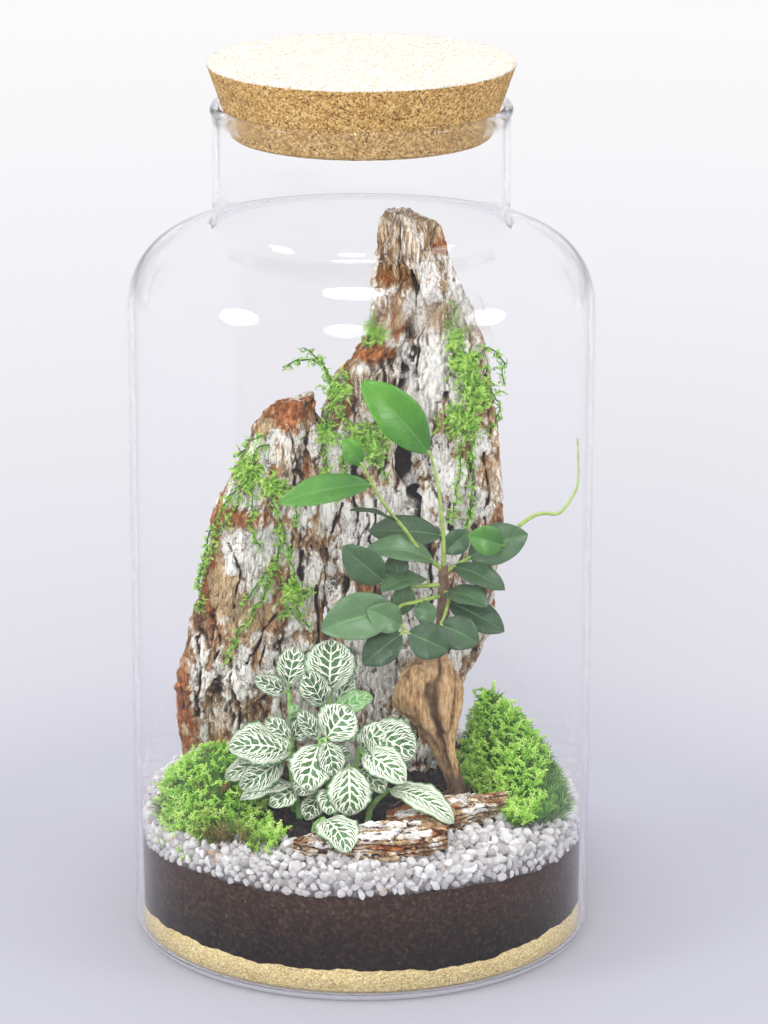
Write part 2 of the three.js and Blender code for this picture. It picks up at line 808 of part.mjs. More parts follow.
function barkRelief(slab, angle, place, across) {
  const { seed, relief, crevice } = slab;
  const ridges =
    Math.sin(5 * angle + 0.9 * Math.sin(place / 19) + seed) +
    0.7 * Math.sin(8 * angle - place / 15 + 2 * seed) +
    0.5 * Math.sin(place / 6.5 + 3 * angle + seed);
  let depth = relief * (ridges - 0.6);
  if (crevice && Math.sin(angle) < 0 && place > crevice.from && place < crevice.to) {
    const off = across - crevice.at - crevice.lean * (place - crevice.from);
    depth -= crevice.depth * Math.exp(-((off / crevice.width) ** 2));
  }
  return depth;
}

// Point on the surface of a slab, at an angle round its section and a place along it.
function barkPoint(slab, angle, place, grow) {
  const [, low, high, middle, thickness, tilt] = rowAt(slab.rows, place);
  const halfWidth = (high - low) / 2;
  const halfThickness = thickness / 2;
  const c = Math.cos(angle);
  const s = Math.sin(angle);
  const across = Math.sign(c) * Math.abs(c) ** 0.8;
  const deep = Math.sign(s) * Math.abs(s) ** 0.65;
  const push = grow + barkRelief(slab, angle, place, (low + high) / 2 + halfWidth * across);
  const u = (low + high) / 2 + (halfWidth + push) * across;
  const v = middle + (halfThickness + push) * deep;
  const w = place + tilt * across;
  return slab.axis === "z" ? new THREE.Vector3(u, v, w) : new THREE.Vector3(w, u, v);
}

function barkSlab(slab, grow) {
  const first = slab.rows[0][0];
  const last = slab.rows.at(-1)[0];
  const count = Math.round((last - first) / slab.step);
  const rings = [];
  for (let i = 0; i <= count; i++) {
    const place = mix(first, last, i / count);
    const ring = [];
    for (let k = 0; k < slab.around; k++) {
      ring.push(barkPoint(slab, (k / slab.around) * 2 * Math.PI, place, grow));
    }
    rings.push(ring);
  }
  if (grow) {
    // The grown body also reaches past the slab's ends.
    const shift = slab.axis === "z" ? new THREE.Vector3(0, 0, grow) : new THREE.Vector3(grow, 0, 0);
    rings[0].forEach((p) => p.sub(shift));
    rings.at(-1).forEach((p) => p.add(shift));
  }
  return loft(rings);
}

// Point on the facets of a slab, between the four nearest corners.
function facetPoint(slab, angle, place, grow) {
  const first = slab.rows[0][0];
  const last = slab.rows.at(-1)[0];
  const pitch = (last - first) / Math.round((last - first) / slab.step);
  const turn = (2 * Math.PI) / slab.around;
  const low = first + Math.floor((place - first) / pitch) * pitch;
  const from = Math.floor(angle / turn) * turn;
  const along = (place - low) / pitch;
  const round = (angle - from) / turn;
  const side = (at) =>
    barkPoint(slab, at, low, grow).lerp(barkPoint(slab, at, Math.min(low + pitch, last), grow), along);
  return side(from).lerp(side(from + turn), round);
}

// Point on the front of an upright slab at a width and a height, lifted off the bark.
function onBark(slab, x, z, lift) {
  const [, low, high] = rowAt(slab.rows, z);
  const share = THREE.MathUtils.clamp((x - (low + high) / 2) / ((high - low) / 2), -1, 1);
  const c = Math.sign(share) * Math.abs(share) ** (1 / 0.8);
  const angle = -Math.acos(THREE.MathUtils.clamp(c, -1, 1));
  return facetPoint(slab, angle, z, lift);
}

// ---------------------------------------------------------------- fig

function trunkBody(grow) {
  const rings = FIG_TRUNK.map(([z, left, right, middle, thickness], i) => {
    const ring = [];
    for (let k = 0; k < TRUNK_SIDES; k++) {
      const angle = (k / TRUNK_SIDES) * 2 * Math.PI;
      const flute = z < 122 && z > 70 ? 1 + 0.1 * Math.sin(3 * angle + z / 14) : 1;
      const halfWidth = ((right - left) / 2) * flute + grow;
      const halfThickness = (thickness / 2) * flute + grow;
      const end = i === FIG_TRUNK.length - 1 ? grow : 0;
      ring.push(
        new THREE.Vector3(
          (left + right) / 2 + halfWidth * Math.cos(angle),
          middle + halfThickness * Math.sin(angle),
          z + end,
        ),
      );
    }
    return ring;
  });
  return loft(rings);
}

function makeFigShoots(trunkRoom) {
  for (const [name, shoot] of Object.entries(FIG_SHOOTS)) {
    const [thick, thin] = shoot.thickness;
    const parts = [stem(shoot.stem, thick / 2, thin / 2, 3)];
    for (const row of shoot.leaves) {
      parts.push(leaf(row, shoot.stem, FIG_OUTLINE, 0.14, 0.05, 0));
    }
    addPiece(name, largest(joined(parts).subtract(trunkRoom)), "fig_leaf");
  }
}

// ---------------------------------------------------------------- fittonia

function fittoniaStem({ stem: points, leaves }) {
  const parts = [stem(points, STEM_RADIUS, STALK_RADIUS)];
  for (const row of leaves) {
    parts.push(leaf(row, points, FITTONIA_OUTLINE, 0.16, 0.07, 0.35));
  }
  return parts;
}

function makeFittonia() {
  for (const [name, plant] of Object.entries(FITTONIA_STEMS)) {
    addPiece(name, largest(joined(fittoniaStem(plant))), "fittonia_leaf");
  }
}

// Hole that a stem stands in.
function stemHole({ stem: points }) {
  const [[x, y, z], ...rest] = points;
  return stem([[x, y, z - CLEARANCE], ...rest], STEM_RADIUS + 0.5, STALK_RADIUS + 0.5);
}

// ---------------------------------------------------------------- moss

function withinGlass(point, reach) {
  const radius = Math.hypot(point.x, point.y);
  if (radius > reach) {
    point.x *= reach / radius;
    point.y *= reach / radius;
  }
  return point;
}

// Point on the rounded outside of a clump, at an angle and at a part of the way up.
function clumpPoint(clump, angle, part) {
  const wide = (1 - part) ** clump.slope;
  const bump = 1 + 0.07 * Math.sin(3 * angle + 7 * part + clump.seed) + 0.05 * Math.sin(5 * angle - 9 * part);
  const x = clump.half[0] * wide * bump * Math.cos(angle);
  const y = clump.half[1] * wide * bump * Math.sin(angle);
  const c = Math.cos(clump.turn);
  const s = Math.sin(clump.turn);
  const point = new THREE.Vector3(
    clump.middle[0] + c * x - s * y + clump.lean[0] * part,
    clump.middle[1] + s * x + c * y + clump.lean[1] * part,
    mix(clump.foot, clump.top, part ** 0.85),
  );
  return withinGlass(point, MOSS_REACH - 4);
}

// Clump of tufts: about half of the points of its outside stand out as the tips of tufts.
function mossClump(clump) {
  const random = draws(clump.seed);
  const rows = 7;
  const rings = [];
  const heart = new THREE.Vector3(...clump.middle, mix(clump.foot, clump.top, 0.3));
  for (let i = 0; i <= rows; i++) {
    const part = (i / rows) * 0.97;
    const ring = [];
    for (let k = 0; k < clump.around; k++) {
      const angle = ((k + 0.5 * i) / clump.around) * 2 * Math.PI;
      const point = clumpPoint(clump, angle, part);
      const out = point.clone().sub(heart).normalize();
      const tuft = random() < 0.45 ? mix(3, 5.5, random()) : mix(-1.5, 0.5, random());
      ring.push(withinGlass(point.addScaledVector(out, i ? tuft : 0), MOSS_REACH));
    }
    rings.push(ring);
  }
  return loft(rings);
}

// Frizzy strand: a thin stem whose thickness and line swing from side to side.
function strandBody(points, random) {
  const line = new THREE.CatmullRomCurve3(points);
  const steps = Math.max(3, Math.round(line.getLength() / 3.8));
  const frames = line.computeFrenetFrames(steps);
  const rings = [];
  for (let i = 0; i <= steps; i++) {
    const at = line.getPointAt(i / steps);
    const radius = i % 2 ? mix(1.4, 1.9, random()) : 0.75;
    const ring = [];
    for (let k = 0; k < 3; k++) {
      const angle = (k / 3) * 2 * Math.PI + i * 0.5;
      ring.push(
        at
          .clone()
          .addScaledVector(frames.normals[i], radius * Math.cos(angle))
          .addScaledVector(frames.binormals[i], radius * Math.sin(angle)),
      );
    }
    rings.push(ring);
  }
  return loft(rings);
}

// Spiky ball: a small bunch of tufts.
function bunch(centre, radius, random) {
  const shape = new THREE.IcosahedronGeometry(radius, 1);
  shape.deleteAttribute("normal");
  shape.deleteAttribute("uv");
  const ball = mergeVertices(shape, 1e-4);
  const spikes = ball.attributes.position;
  for (let i = 0; i < spikes.count; i++) {
    const reach = random() < 0.45 ? mix(1.15, 1.5, random()) : mix(0.62, 0.8, random());
    spikes.setXYZ(i, spikes.getX(i) * reach, spikes.getY(i) * reach * 0.8, spikes.getZ(i) * reach);
  }
  ball.translate(centre.x, centre.y, centre.z);
  return solidOf(ball);
}

// Points close together over the bark, along a strand given by x, z points.
function alongBark(slab, strand) {
  const flat = new THREE.CurvePath();
  for (let i = 1; i < strand.length; i++) {
    flat.add(new THREE.LineCurve(new THREE.Vector2(...strand[i - 1]), new THREE.Vector2(...strand[i])));
  }
  const count = Math.ceil(flat.getLength() / 5);
  return flat.getSpacedPoints(count).map(({ x, y }) => onBark(slab, x, y, STRAND_LIFT));
}

function barkSpray(spray) {
  const random = draws(spray.seed);
  const parts = [];
  for (const [x, z, radius] of spray.cores) {
    parts.push(bunch(onBark(spray.bark, x, z, radius * 0.7), radius, random));
  }
  for (const strand of spray.strands) {
    parts.push(strandBody(alongBark(spray.bark, strand), random));
  }
  return joined(parts);
}

// ---------------------------------------------------------------- assembly

makeJar();
makeCork();
makeSand();

const tallRoom = barkSlab(BARK_TALL, CLEARANCE);
const leftRoom = barkSlab(BARK_LEFT, CLEARANCE);
const frontLeftRoom = barkSlab(BARK_FRONT_LEFT, CLEARANCE);
const frontRightRoom = barkSlab(BARK_FRONT_RIGHT, CLEARANCE);
const barkRoom = joined([tallRoom, leftRoom, frontLeftRoom, frontRightRoom]);

addPiece("bark_tall", barkSlab(BARK_TALL, 0), "bark");
addPiece("bark_left", largest(barkSlab(BARK_LEFT, 0).subtract(tallRoom)), "bark");
addPiece("bark_front_left", barkSlab(BARK_FRONT_LEFT, 0), "bark");
addPiece("bark_front_right", largest(barkSlab(BARK_FRONT_RIGHT, 0).subtract(frontLeftRoom)), "bark");

const trunkRoom = trunkBody(CLEARANCE);
addPiece("fig_trunk", trunkBody(0), "trunk");
makeFigShoots(trunkRoom);
makeFittonia();

const holes = Object.values(FITTONIA_STEMS).map(stemHole);
const footRoom = joined([barkRoom, trunkRoom, ...holes]);
addPiece("soil_layer", largest(soilBody(0).subtract(footRoom)), "soil");

const ground = soilBody(CLEARANCE).add(gravelRoom());
const clumps = Object.entries(MOSS_CLUMPS).map(([name, clump]) => {
  const body = largest(mossClump(clump).subtract(ground).subtract(barkRoom));
  addPiece(name, body, "moss");
  return clump;
});

function underMossOrBark(point) {
  const overMoss = clumps.some((clump) => {
    const dx = point.x - clump.middle[0];
    const dy = point.y - clump.middle[1];
    const c = Math.cos(clump.turn);
    const s = Math.sin(clump.turn);
    const x = (c * dx + s * dy) / (clump.half[0] + 4);
    const y = (c * dy - s * dx) / (clump.half[1] + 4);
    return x * x + y * y < 1;
  });
  const { rows } = BARK_FRONT_LEFT;
  const overBark = point.x > rows[0][0] && point.x < rows.at(-1)[0] && point.y < 0 && point.y > -78;
  return overMoss || overBark;
}

const gravel = joined([gravelBed(), ...makePebbles(underMossOrBark)]);
addPiece("gravel_layer", largest(gravel.subtract(leftRoom).subtract(frontLeftRoom)), "gravel");

for (const [name, spray] of Object.entries(BARK_SPRAYS)) {
  addPiece(name, largest(barkSpray(spray).subtract(tallRoom).subtract(leftRoom)), "moss");
}

export default terrarium;
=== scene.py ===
# %% [markdown]
# A planted glass jar: white-veined fittonia, a ginseng fig and moss in front of two slabs of pine bark, on
# sand, soil and pale gravel, under a cork stopper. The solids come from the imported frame, and each of them
# is dressed here with a finer piece of the same form.

# %% The frame and its size
import bpy
import bmesh
import math
import numpy as np
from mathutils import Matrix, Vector


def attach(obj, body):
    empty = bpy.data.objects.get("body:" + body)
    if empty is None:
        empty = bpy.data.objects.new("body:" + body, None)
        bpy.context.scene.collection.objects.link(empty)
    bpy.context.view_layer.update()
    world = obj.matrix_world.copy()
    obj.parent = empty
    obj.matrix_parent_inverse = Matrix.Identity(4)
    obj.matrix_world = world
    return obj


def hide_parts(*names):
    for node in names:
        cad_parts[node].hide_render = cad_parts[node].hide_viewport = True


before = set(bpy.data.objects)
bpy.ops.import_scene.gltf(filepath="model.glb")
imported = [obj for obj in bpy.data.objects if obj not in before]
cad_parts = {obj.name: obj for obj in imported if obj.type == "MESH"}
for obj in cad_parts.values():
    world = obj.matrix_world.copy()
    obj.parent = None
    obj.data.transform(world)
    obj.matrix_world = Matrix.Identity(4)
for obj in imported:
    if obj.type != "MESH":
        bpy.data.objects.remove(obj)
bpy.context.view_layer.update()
print("nodes in the frame:", len(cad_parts))

# %% [markdown]
# The picture is taken from a little above with a long lens, so the jar's sides stay nearly parallel, and
# the lens is shifted so that the jar stands left of the middle. Three round softboxes leave the three white
# spots on its shoulder. A fourth lamp lights the planting from the front and isn't mirrored, and a pale sky
# fills in the rest.

# %% Camera, floor and lights
scene = bpy.context.scene
scene.view_settings.view_transform = "Standard"

lens = bpy.data.cameras.new("lens")
lens.lens = 152.75
lens.sensor_width = 36
lens.shift_x = 0.022
lens.shift_y = -0.1127
camera = bpy.data.objects.new("camera", lens)
camera.location = (0, -1.687, 0.6758)
camera.rotation_euler = (math.radians(75), 0, 0)
scene.collection.objects.link(camera)
scene.camera = camera

sky = bpy.data.worlds.new("sky")
sky.use_nodes = True
sky.node_tree.nodes["Background"].inputs["Color"].default_value = (0.985, 0.98, 1.0, 1)
sky.node_tree.nodes["Background"].inputs["Strength"].default_value = 1.05
scene.world = sky

JAR_MIDDLE = 0.2


def softbox(name, direction, distance, radius, radiance):
    """A round lamp that faces the jar. Its radiance is what the glass mirrors."""
    lamp = bpy.data.lights.new(name, "AREA")
    lamp.shape = "DISK"
    lamp.size = 2 * radius
    lamp.energy = radiance * math.pi * math.pi * radius**2
    holder = bpy.data.objects.new(name, lamp)
    aim = Vector(direction).normalized()
    holder.location = aim * distance + Vector((0, 0, JAR_MIDDLE))
    holder.rotation_euler = aim.to_track_quat("Z", "Y").to_euler()
    scene.collection.objects.link(holder)
    return holder


fill = softbox("front_fill", (-0.12, -0.86, 0.5), 1.7, 0.3, 12.0)
fill.visible_glossy = False
softbox("softbox_left", (-0.8, -0.35, 0.48), 1.5, 0.25, 11.5)
softbox("softbox_right", (0.81, -0.34, 0.47), 1.5, 0.25, 8.5)
softbox("softbox_top", (-0.03, -0.09, 1.0), 1.5, 0.25, 20.0)

# %% [markdown]
# Every finish is a node tree round one Principled shader. Written node by node, a tree is long, so one
# small class wraps a socket and lets sums be written as sums: each operator adds the Math node it stands
# for. A second class holds the material and makes every other node.

# %% Sockets that can be added and multiplied
def paired(operation):
    """A method that makes that Math node from a wire and one more value."""
    return lambda self, other: self.maths(operation, self, other)


class Wire:
    """An output socket that takes part in sums."""

    def __init__(self, finish, socket):
        self.finish = finish
        self.socket = socket

    def maths(self, operation, *values):
        return self.finish.node("Math", {"operation": operation}, dict(enumerate(values)))

    __add__ = __radd__ = paired("ADD")
    __mul__ = __rmul__ = paired("MULTIPLY")
    __sub__ = paired("SUBTRACT")
    __truediv__ = paired("DIVIDE")
    __pow__ = paired("POWER")
    least = paired("MINIMUM")
    most = paired("MAXIMUM")

    def __rsub__(self, other):
        return self.maths("SUBTRACT", other, self)

    def __abs__(self):
        return self.maths("ABSOLUTE", self)

    def fraction(self):
        return self.maths("FRACT", self)

    def step(self, low, high):
        """0 below low, 1 above high, with a smooth slope between. It falls if high is below low."""
        sockets = {"Value": self, "From Min": low, "From Max": high}
        return self.finish.node("MapRange", {"interpolation_type": "SMOOTHSTEP"}, sockets)


print("sums of sockets ready")

# %% [markdown]
# A finish is one material. Its sizes are in millimetres, as a maker thinks of a granule of cork or a fibre
# of bark, and the methods turn them into the scale of a texture. Marks are numbers that a mesh carries at
# its points, such as how deep a crack is there.

# %% Finishes
class Finish:
    """A material with one Principled shader, and the nodes that feed it."""

    def __init__(self, name, **fixed):
        self.material = bpy.data.materials.new(name)
        self.material.use_nodes = True
        self.tree = self.material.node_tree
        self.shader = self.tree.nodes["Principled BSDF"]
        self.set(**fixed)
        place = self.tree.nodes.new("ShaderNodeTexCoord")
        self.place = Wire(self, place.outputs["Object"])

    def plug(self, socket, value):
        """Links a wire to a socket, or sets it to a plain value."""
        if isinstance(value, Wire):
            self.tree.links.new(value.socket, socket)
        elif isinstance(value, tuple) and len(value) == 3 and socket.type == "RGBA":
            socket.default_value = (*value, 1)
        else:
            socket.default_value = value

    def set(self, **sockets):
        """Sets or links sockets of the Principled shader."""
        for name, value in sockets.items():
            self.plug(self.shader.inputs[name.replace("_", " ")], value)

    def node(self, kind, settings=None, sockets=None, output=0):
        """Makes a node from its type, its settings, and the values or links of its sockets."""
        made = self.tree.nodes.new("ShaderNode" + kind)
        for name, value in (settings or {}).items():
            if name == "stops":
                ramp = made.color_ramp
                while len(ramp.elements) < len(value):
                    ramp.elements.new(0.5)
                for stop, (position, *colour) in zip(ramp.elements, value):
                    stop.position = position
                    stop.color = (*colour, 1)
            else:
                setattr(made, name, value)
        for name, value in (sockets or {}).items():
            self.plug(made.inputs[name], value)
        return Wire(self, made.outputs[output])

    def stretched(self, size_mm):
        """The place in units of a size, which may differ from axis to axis."""
        sizes = size_mm if isinstance(size_mm, tuple) else (size_mm, size_mm, size_mm)
        scale = tuple(1000 / size for size in sizes)
        return self.node("VectorMath", {"operation": "MULTIPLY"}, {0: self.place, 1: scale})

    def height(self):
        """Height above the floor, in metres."""
        return self.node("SeparateXYZ", None, {0: self.place}, 2)

    def noise(self, size_mm, detail=3, roughness=0.55, distortion=0.0):
        """Soft noise from 0 to 1 with features of that size."""
        sockets = {"Vector": self.stretched(size_mm), "Scale": 1.0, "Detail": detail}
        return self.node("TexNoise", None, {**sockets, "Roughness": roughness, "Distortion": distortion})

    def cells(self, size_mm, feature="F1", output="Distance"):
        """Cells of that size: the distance from their seeds or edges."""
        sockets = {"Vector": self.stretched(size_mm), "Scale": 1.0}
        return self.node("TexVoronoi", {"feature": feature}, sockets, output)

    def grain(self, size_mm, channel=0):
        """A number for each cell. Each channel gives other numbers."""
        return self.node("SeparateColor", None, {"Color": self.cells(size_mm, output="Color")}, channel)

    def mark(self, name):
        """A number that the mesh carries at each point."""
        return self.node("Attribute", {"attribute_name": name}, None, "Fac")

    def marks(self, *names):
        return [self.mark(name) for name in names]

    def blend(self, mask, low, high):
        """Colour low where the mask is 0, and high where it is 1."""
        return self.node("Mix", {"data_type": "RGBA"}, {0: mask, 6: low, 7: high}, 2)

    def mix(self, mask, low, high):
        """Shader low where the mask is 0, and high where it is 1."""
        return self.node("MixShader", None, {0: mask, 1: low, 2: high})

    def ramp(self, value, *stops):
        """Colours along a value. A stop is its place, then red, green and blue."""
        return self.node("ValToRGB", {"stops": stops}, {"Fac": value})

    def bump(self, height, depth_mm, strength=1.0):
        """Relief from a height that runs from 0 to 1 and stands for depth_mm."""
        sockets = {"Height": height, "Distance": depth_mm / 1000, "Strength": strength}
        return self.node("Bump", None, sockets)


print("helpers for finishes ready")

# %% [markdown]
# The shapes of bark, leaves, stones and moss are worked out as arrays of points in millimetres. Their
# unevenness comes from two patterns that are the same on every run: a cloud, which is smooth noise summed
# at several sizes, and patches, which split space into cells round scattered seeds.

# %% Repeatable clouds and cells
MM = 0.001
BIG = 4294967295


def lattice(cell, seed):
    """A repeatable number from 0 to 1 for each whole-number cell of space."""
    c = cell.astype(np.int64).astype(np.uint64) & np.uint64(BIG)
    h = c[..., 0] * np.uint64(374761393) + c[..., 1] * np.uint64(668265263)
    h = (h + c[..., 2] * np.uint64(2147483647) + np.uint64(seed * 974634777)) & np.uint64(BIG)
    h = ((h ^ (h >> np.uint64(15))) * np.uint64(2246822519)) & np.uint64(BIG)
    h = ((h ^ (h >> np.uint64(13))) * np.uint64(3266489917)) & np.uint64(BIG)
    return (h ^ (h >> np.uint64(16))).astype(float) / BIG


def cloud(points, size, seed, octaves=3):
    """Smooth noise from -1 to 1. The size may be one number or one for each axis."""
    total = np.zeros(points.shape[:-1])
    weight = 0
    for octave in range(octaves):
        p = points / np.asarray(size, float) * 2**octave + 31.7 * octave
        low = np.floor(p)
        f = p - low
        f = f * f * (3 - 2 * f)
        value = 0
        for corner in np.ndindex(2, 2, 2):
            share = np.prod(np.where(corner, f, 1 - f), axis=-1)
            value = value + share * lattice(low + corner, seed + 7 * octave)
        total += value * 0.5**octave
        weight += 0.5**octave
    return 2 * total / weight - 1


def patches(points, size, seed):
    """Distances to the two nearest seeds, a number for the nearest, and the way from it."""
    p = points / np.asarray(size, float)
    low = np.floor(p)
    first = np.full(p.shape[:-1], 9.0)
    second = first.copy()
    name = np.zeros_like(first)
    way = np.zeros_like(p)
    for corner in np.ndindex(3, 3, 3):
        cell = low + corner - 1
        seeds = np.stack([lattice(cell, seed + i) for i in range(3)], axis=-1)
        away = np.linalg.norm(cell + seeds - p, axis=-1)
        nearer = away < first
        second = np.where(nearer, first, np.minimum(second, away))
        name = np.where(nearer, lattice(cell, seed + 5), name)
        way = np.where(nearer[..., None], p - cell - seeds, way)
        first = np.where(nearer, away, first)
    return first, second, name, way


def unit(vector):
    """The same directions, one unit long."""
    vector = np.asarray(vector, float)
    return vector / np.maximum(np.linalg.norm(vector, axis=-1, keepdims=True), 1e-9)


def smooth_step(value, low, high):
    """The same slope as a wire's step, for arrays."""
    t = np.clip((value - low) / (high - low), 0, 1)
    return t * t * (3 - 2 * t)


print("cloud at a test point:", cloud(np.array([[1.0, 2.0, 3.0]]), 10, 1).round(3))

# %% [markdown]
# A piece is a mesh made straight from arrays of points and faces, which is quick even for a hundred
# thousand points. It rides on the frame's root body and replaces the plain solid that it dresses. Bodies
# that are skins round a row of rings are all closed in one way.

# %% From arrays to a piece
def make_piece(name, points, faces, finish, slot, replaces=(), smooth=True, marks=None):
    """A mesh piece from points in millimetres and faces of equal length."""
    points = np.asarray(points, float).reshape(-1, 3)
    faces = np.asarray(faces, int)
    mesh = bpy.data.meshes.new(name)
    mesh.vertices.add(len(points))
    mesh.vertices.foreach_set("co", (points * MM).ravel())
    sides = faces.shape[1]
    mesh.loops.add(faces.size)
    mesh.loops.foreach_set("vertex_index", faces.ravel())
    mesh.polygons.add(len(faces))
    mesh.polygons.foreach_set("loop_start", np.arange(0, faces.size, sides))
    mesh.polygons.foreach_set("use_smooth", np.full(len(faces), smooth))
    mesh.update(calc_edges=True)
    for label, values in (marks or {}).items():
        values = np.asarray(values, float)
        kind = "FLOAT_VECTOR" if values.ndim == 2 else "FLOAT"
        layer = mesh.attributes.new(label, kind, "POINT")
        layer.data.foreach_set("vector" if values.ndim == 2 else "value", values.ravel())
    mesh.materials.append(finish.material)
    piece = bpy.data.objects.new(name, mesh)
    scene.collection.objects.link(piece)
    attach(piece, "root")
    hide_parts(*replaces)
    print(f"{name}: {len(points)} points, {len(faces)} faces")


def grid_faces(rows, columns, closed=False):
    """Quads of a grid of points. A closed grid joins its last column to its first."""
    count = columns if closed else columns - 1
    i, k = np.meshgrid(np.arange(rows - 1), np.arange(count), indexing="ij")
    right = (k + 1) % columns
    corners = [i * columns + k, i * columns + right, (i + 1) * columns + right, (i + 1) * columns + k]
    return np.stack(corners, axis=-1).reshape(-1, 4)


def split(quads):
    """Two triangles for each quad."""
    return np.concatenate([quads[:, [0, 1, 2]], quads[:, [0, 2, 3]]])


def several(shapes):
    """One set of points and faces from many (points, faces)."""
    starts = np.cumsum([0] + [len(points) for points, _ in shapes[:-1]])
    points = np.concatenate([points for points, _ in shapes])
    faces = np.concatenate([faces + start for (_, faces), start in zip(shapes, starts)])
    return points, faces


def skinned(rings, low, high):
    """A closed body through rings of points, with an end point below and above."""
    count, sides = rings.shape[:2]
    points = np.concatenate([[low], rings.reshape(-1, 3), [high]])
    wall = split(grid_faces(count, sides, closed=True)) + 1
    k = np.arange(sides)
    turn = (k + 1) % sides
    last = 1 + (count - 1) * sides
    below = np.stack([np.zeros_like(k), 1 + turn, 1 + k], axis=-1)
    above = np.stack([np.full_like(k, len(points) - 1), last + k, last + turn], axis=-1)
    return points, np.concatenate([below, wall, above])


def with_ends(grid):
    """Values for a skinned body: those of its grid, with one more for each end point."""
    return np.concatenate([grid[0, :1], grid.ravel(), grid[-1, :1]])


print("triangles of a test skin:", len(skinned(np.ones((3, 4, 3)), (0, 0, 0), (1, 1, 1))[1]))

# %% [markdown]
# The floor is a plain pale sheet, a little lilac. It is painted darker near the jar, as painted shade,
# and lighter further off, as painted light.

# %% Floor
paper = Finish("floor_paper", Roughness=0.8)
from_jar = paper.node("VectorMath", {"operation": "LENGTH"}, {0: paper.place}, "Value")
# Painted shade and light: the floor is darker near the jar and lighter further off.
floor_painted_shade_and_light = paper.ramp(
    from_jar / 2.5,
    (0.09, 0.35, 0.35, 0.4), (0.14, 0.42, 0.418, 0.458), (0.21, 0.475, 0.472, 0.502),
    (0.45, 0.645, 0.64, 0.656), (0.62, 0.745, 0.742, 0.745), (0.86, 0.845, 0.848, 0.835),
)
paper.set(Base_Color=floor_painted_shade_and_light)
bpy.ops.mesh.primitive_grid_add(x_subdivisions=8, y_subdivisions=8, size=40)
floor = bpy.context.object
floor.name = "floor"
floor.data.materials.append(paper.material)
print("floor:", tuple(floor.dimensions))

# %% [markdown]
# The jar and the stopper are turned shapes: a profile is swept round the axis. It is a list of radii and
# heights, with round stretches as arcs.

# %% Turned shapes
ROUND = 144


def turned(profile, sides=ROUND):
    """Body of a profile of (radius, height) rows, whose two ends lie on the axis."""
    profile = np.asarray(profile, float)
    turn = np.arange(sides) / sides * 2 * np.pi
    radius = profile[1:-1, 0, None]
    height = np.broadcast_to(profile[1:-1, 1, None], (len(profile) - 2, sides))
    rings = np.stack([radius * np.cos(turn), radius * np.sin(turn), height], axis=-1)
    return skinned(rings, (0, 0, profile[0, 1]), (0, 0, profile[-1, 1]))


def arc(centre, radii, start, end, steps):
    """Points of part of an ellipse, with angles in degrees from the outward way."""
    angles = np.radians(np.linspace(start, end, steps + 1))
    return [(centre[0] + radii[0] * math.cos(a), centre[1] + radii[1] * math.sin(a)) for a in angles]


print("end of a quarter arc:", arc((0, 0), (10, 10), 0, 90, 8)[-1])

# %% [markdown]
# Real glass bends light so strongly that the shoulder would smear the planting behind it. This glass bends
# it only a little, and a mirror layer that grows towards a slant draws the jar's edges. The thick foot is
# mixed with a pale matte sheet as painted light: it stands in for the light that thick glass gathers, and
# hides the shaded floor seen through it. At the bend of the neck and at the rim a calmer glass keeps the
# edges from breaking up into beads. Lamp rays and soft light pass straight through, or the jar would shade
# its own planting.

# %% Clear glass
glass = Finish(
    "clear_glass", Base_Color=(0.987, 0.988, 0.993), Roughness=0.0, IOR=1.09, Transmission_Weight=1.0,
    Specular_IOR_Level=0.3,
)
bent_light = Wire(glass, glass.shader.outputs[0])
mirrored = glass.node("BsdfAnisotropic", None, {"Color": (0.96, 0.96, 0.98), "Roughness": 0.0})
slant = glass.node("LayerWeight", None, {"Blend": 0.5}, "Facing")
surface = glass.mix(slant**5 * 0.8 + 0.015, bent_light, mirrored)

glass_height = glass.height()
foot = glass_height.step(0.0046, 0.003)
neck_bend = glass_height.step(0.264, 0.288) * glass_height.step(0.312, 0.307)
rim_roll = glass_height.step(0.336, 0.339)
# Painted light: a pale matte sheet on the foot stands in for light that thick glass gathers.
foot_painted_light = glass.node("BsdfDiffuse", None, {"Color": (0.8, 0.8, 0.85)})
surface = glass.mix(foot * 0.62, surface, foot_painted_light)
straight = glass.node("BsdfGlass", None, {"Color": (0.985, 0.986, 0.992), "Roughness": 0.0, "IOR": 1.02})
calm = glass.mix(slant**5 * 0.5 + 0.02, straight, mirrored)
surface = glass.mix(neck_bend.most(rim_roll * 0.5), surface, calm)

lamp_ray = glass.node("LightPath", None, None, "Is Shadow Ray")
soft_ray = glass.node("LightPath", None, None, "Is Diffuse Ray")
clear = glass.node("BsdfTransparent", None, {"Color": (0.965, 0.967, 0.975)})
surface = glass.mix(lamp_ray.most(soft_ray), surface, clear)
glass.tree.links.new(surface.socket, glass.tree.nodes["Material Output"].inputs["Surface"])
print("nodes in the glass:", len(glass.tree.nodes))

# %% [markdown]
# The jar is blown in one piece: a flat foot, a straight wall, a rounded shoulder, a short neck and a rolled
# rim. It is one closed body with an inside and an outside, because a single sheet would bend light like
# solid glass.

# %% Jar
JAR = 93.5
WALL = 2.6
NECK = 59.2
INNER_NECK = NECK - WALL
SHOULDER = 262
RIM = 344

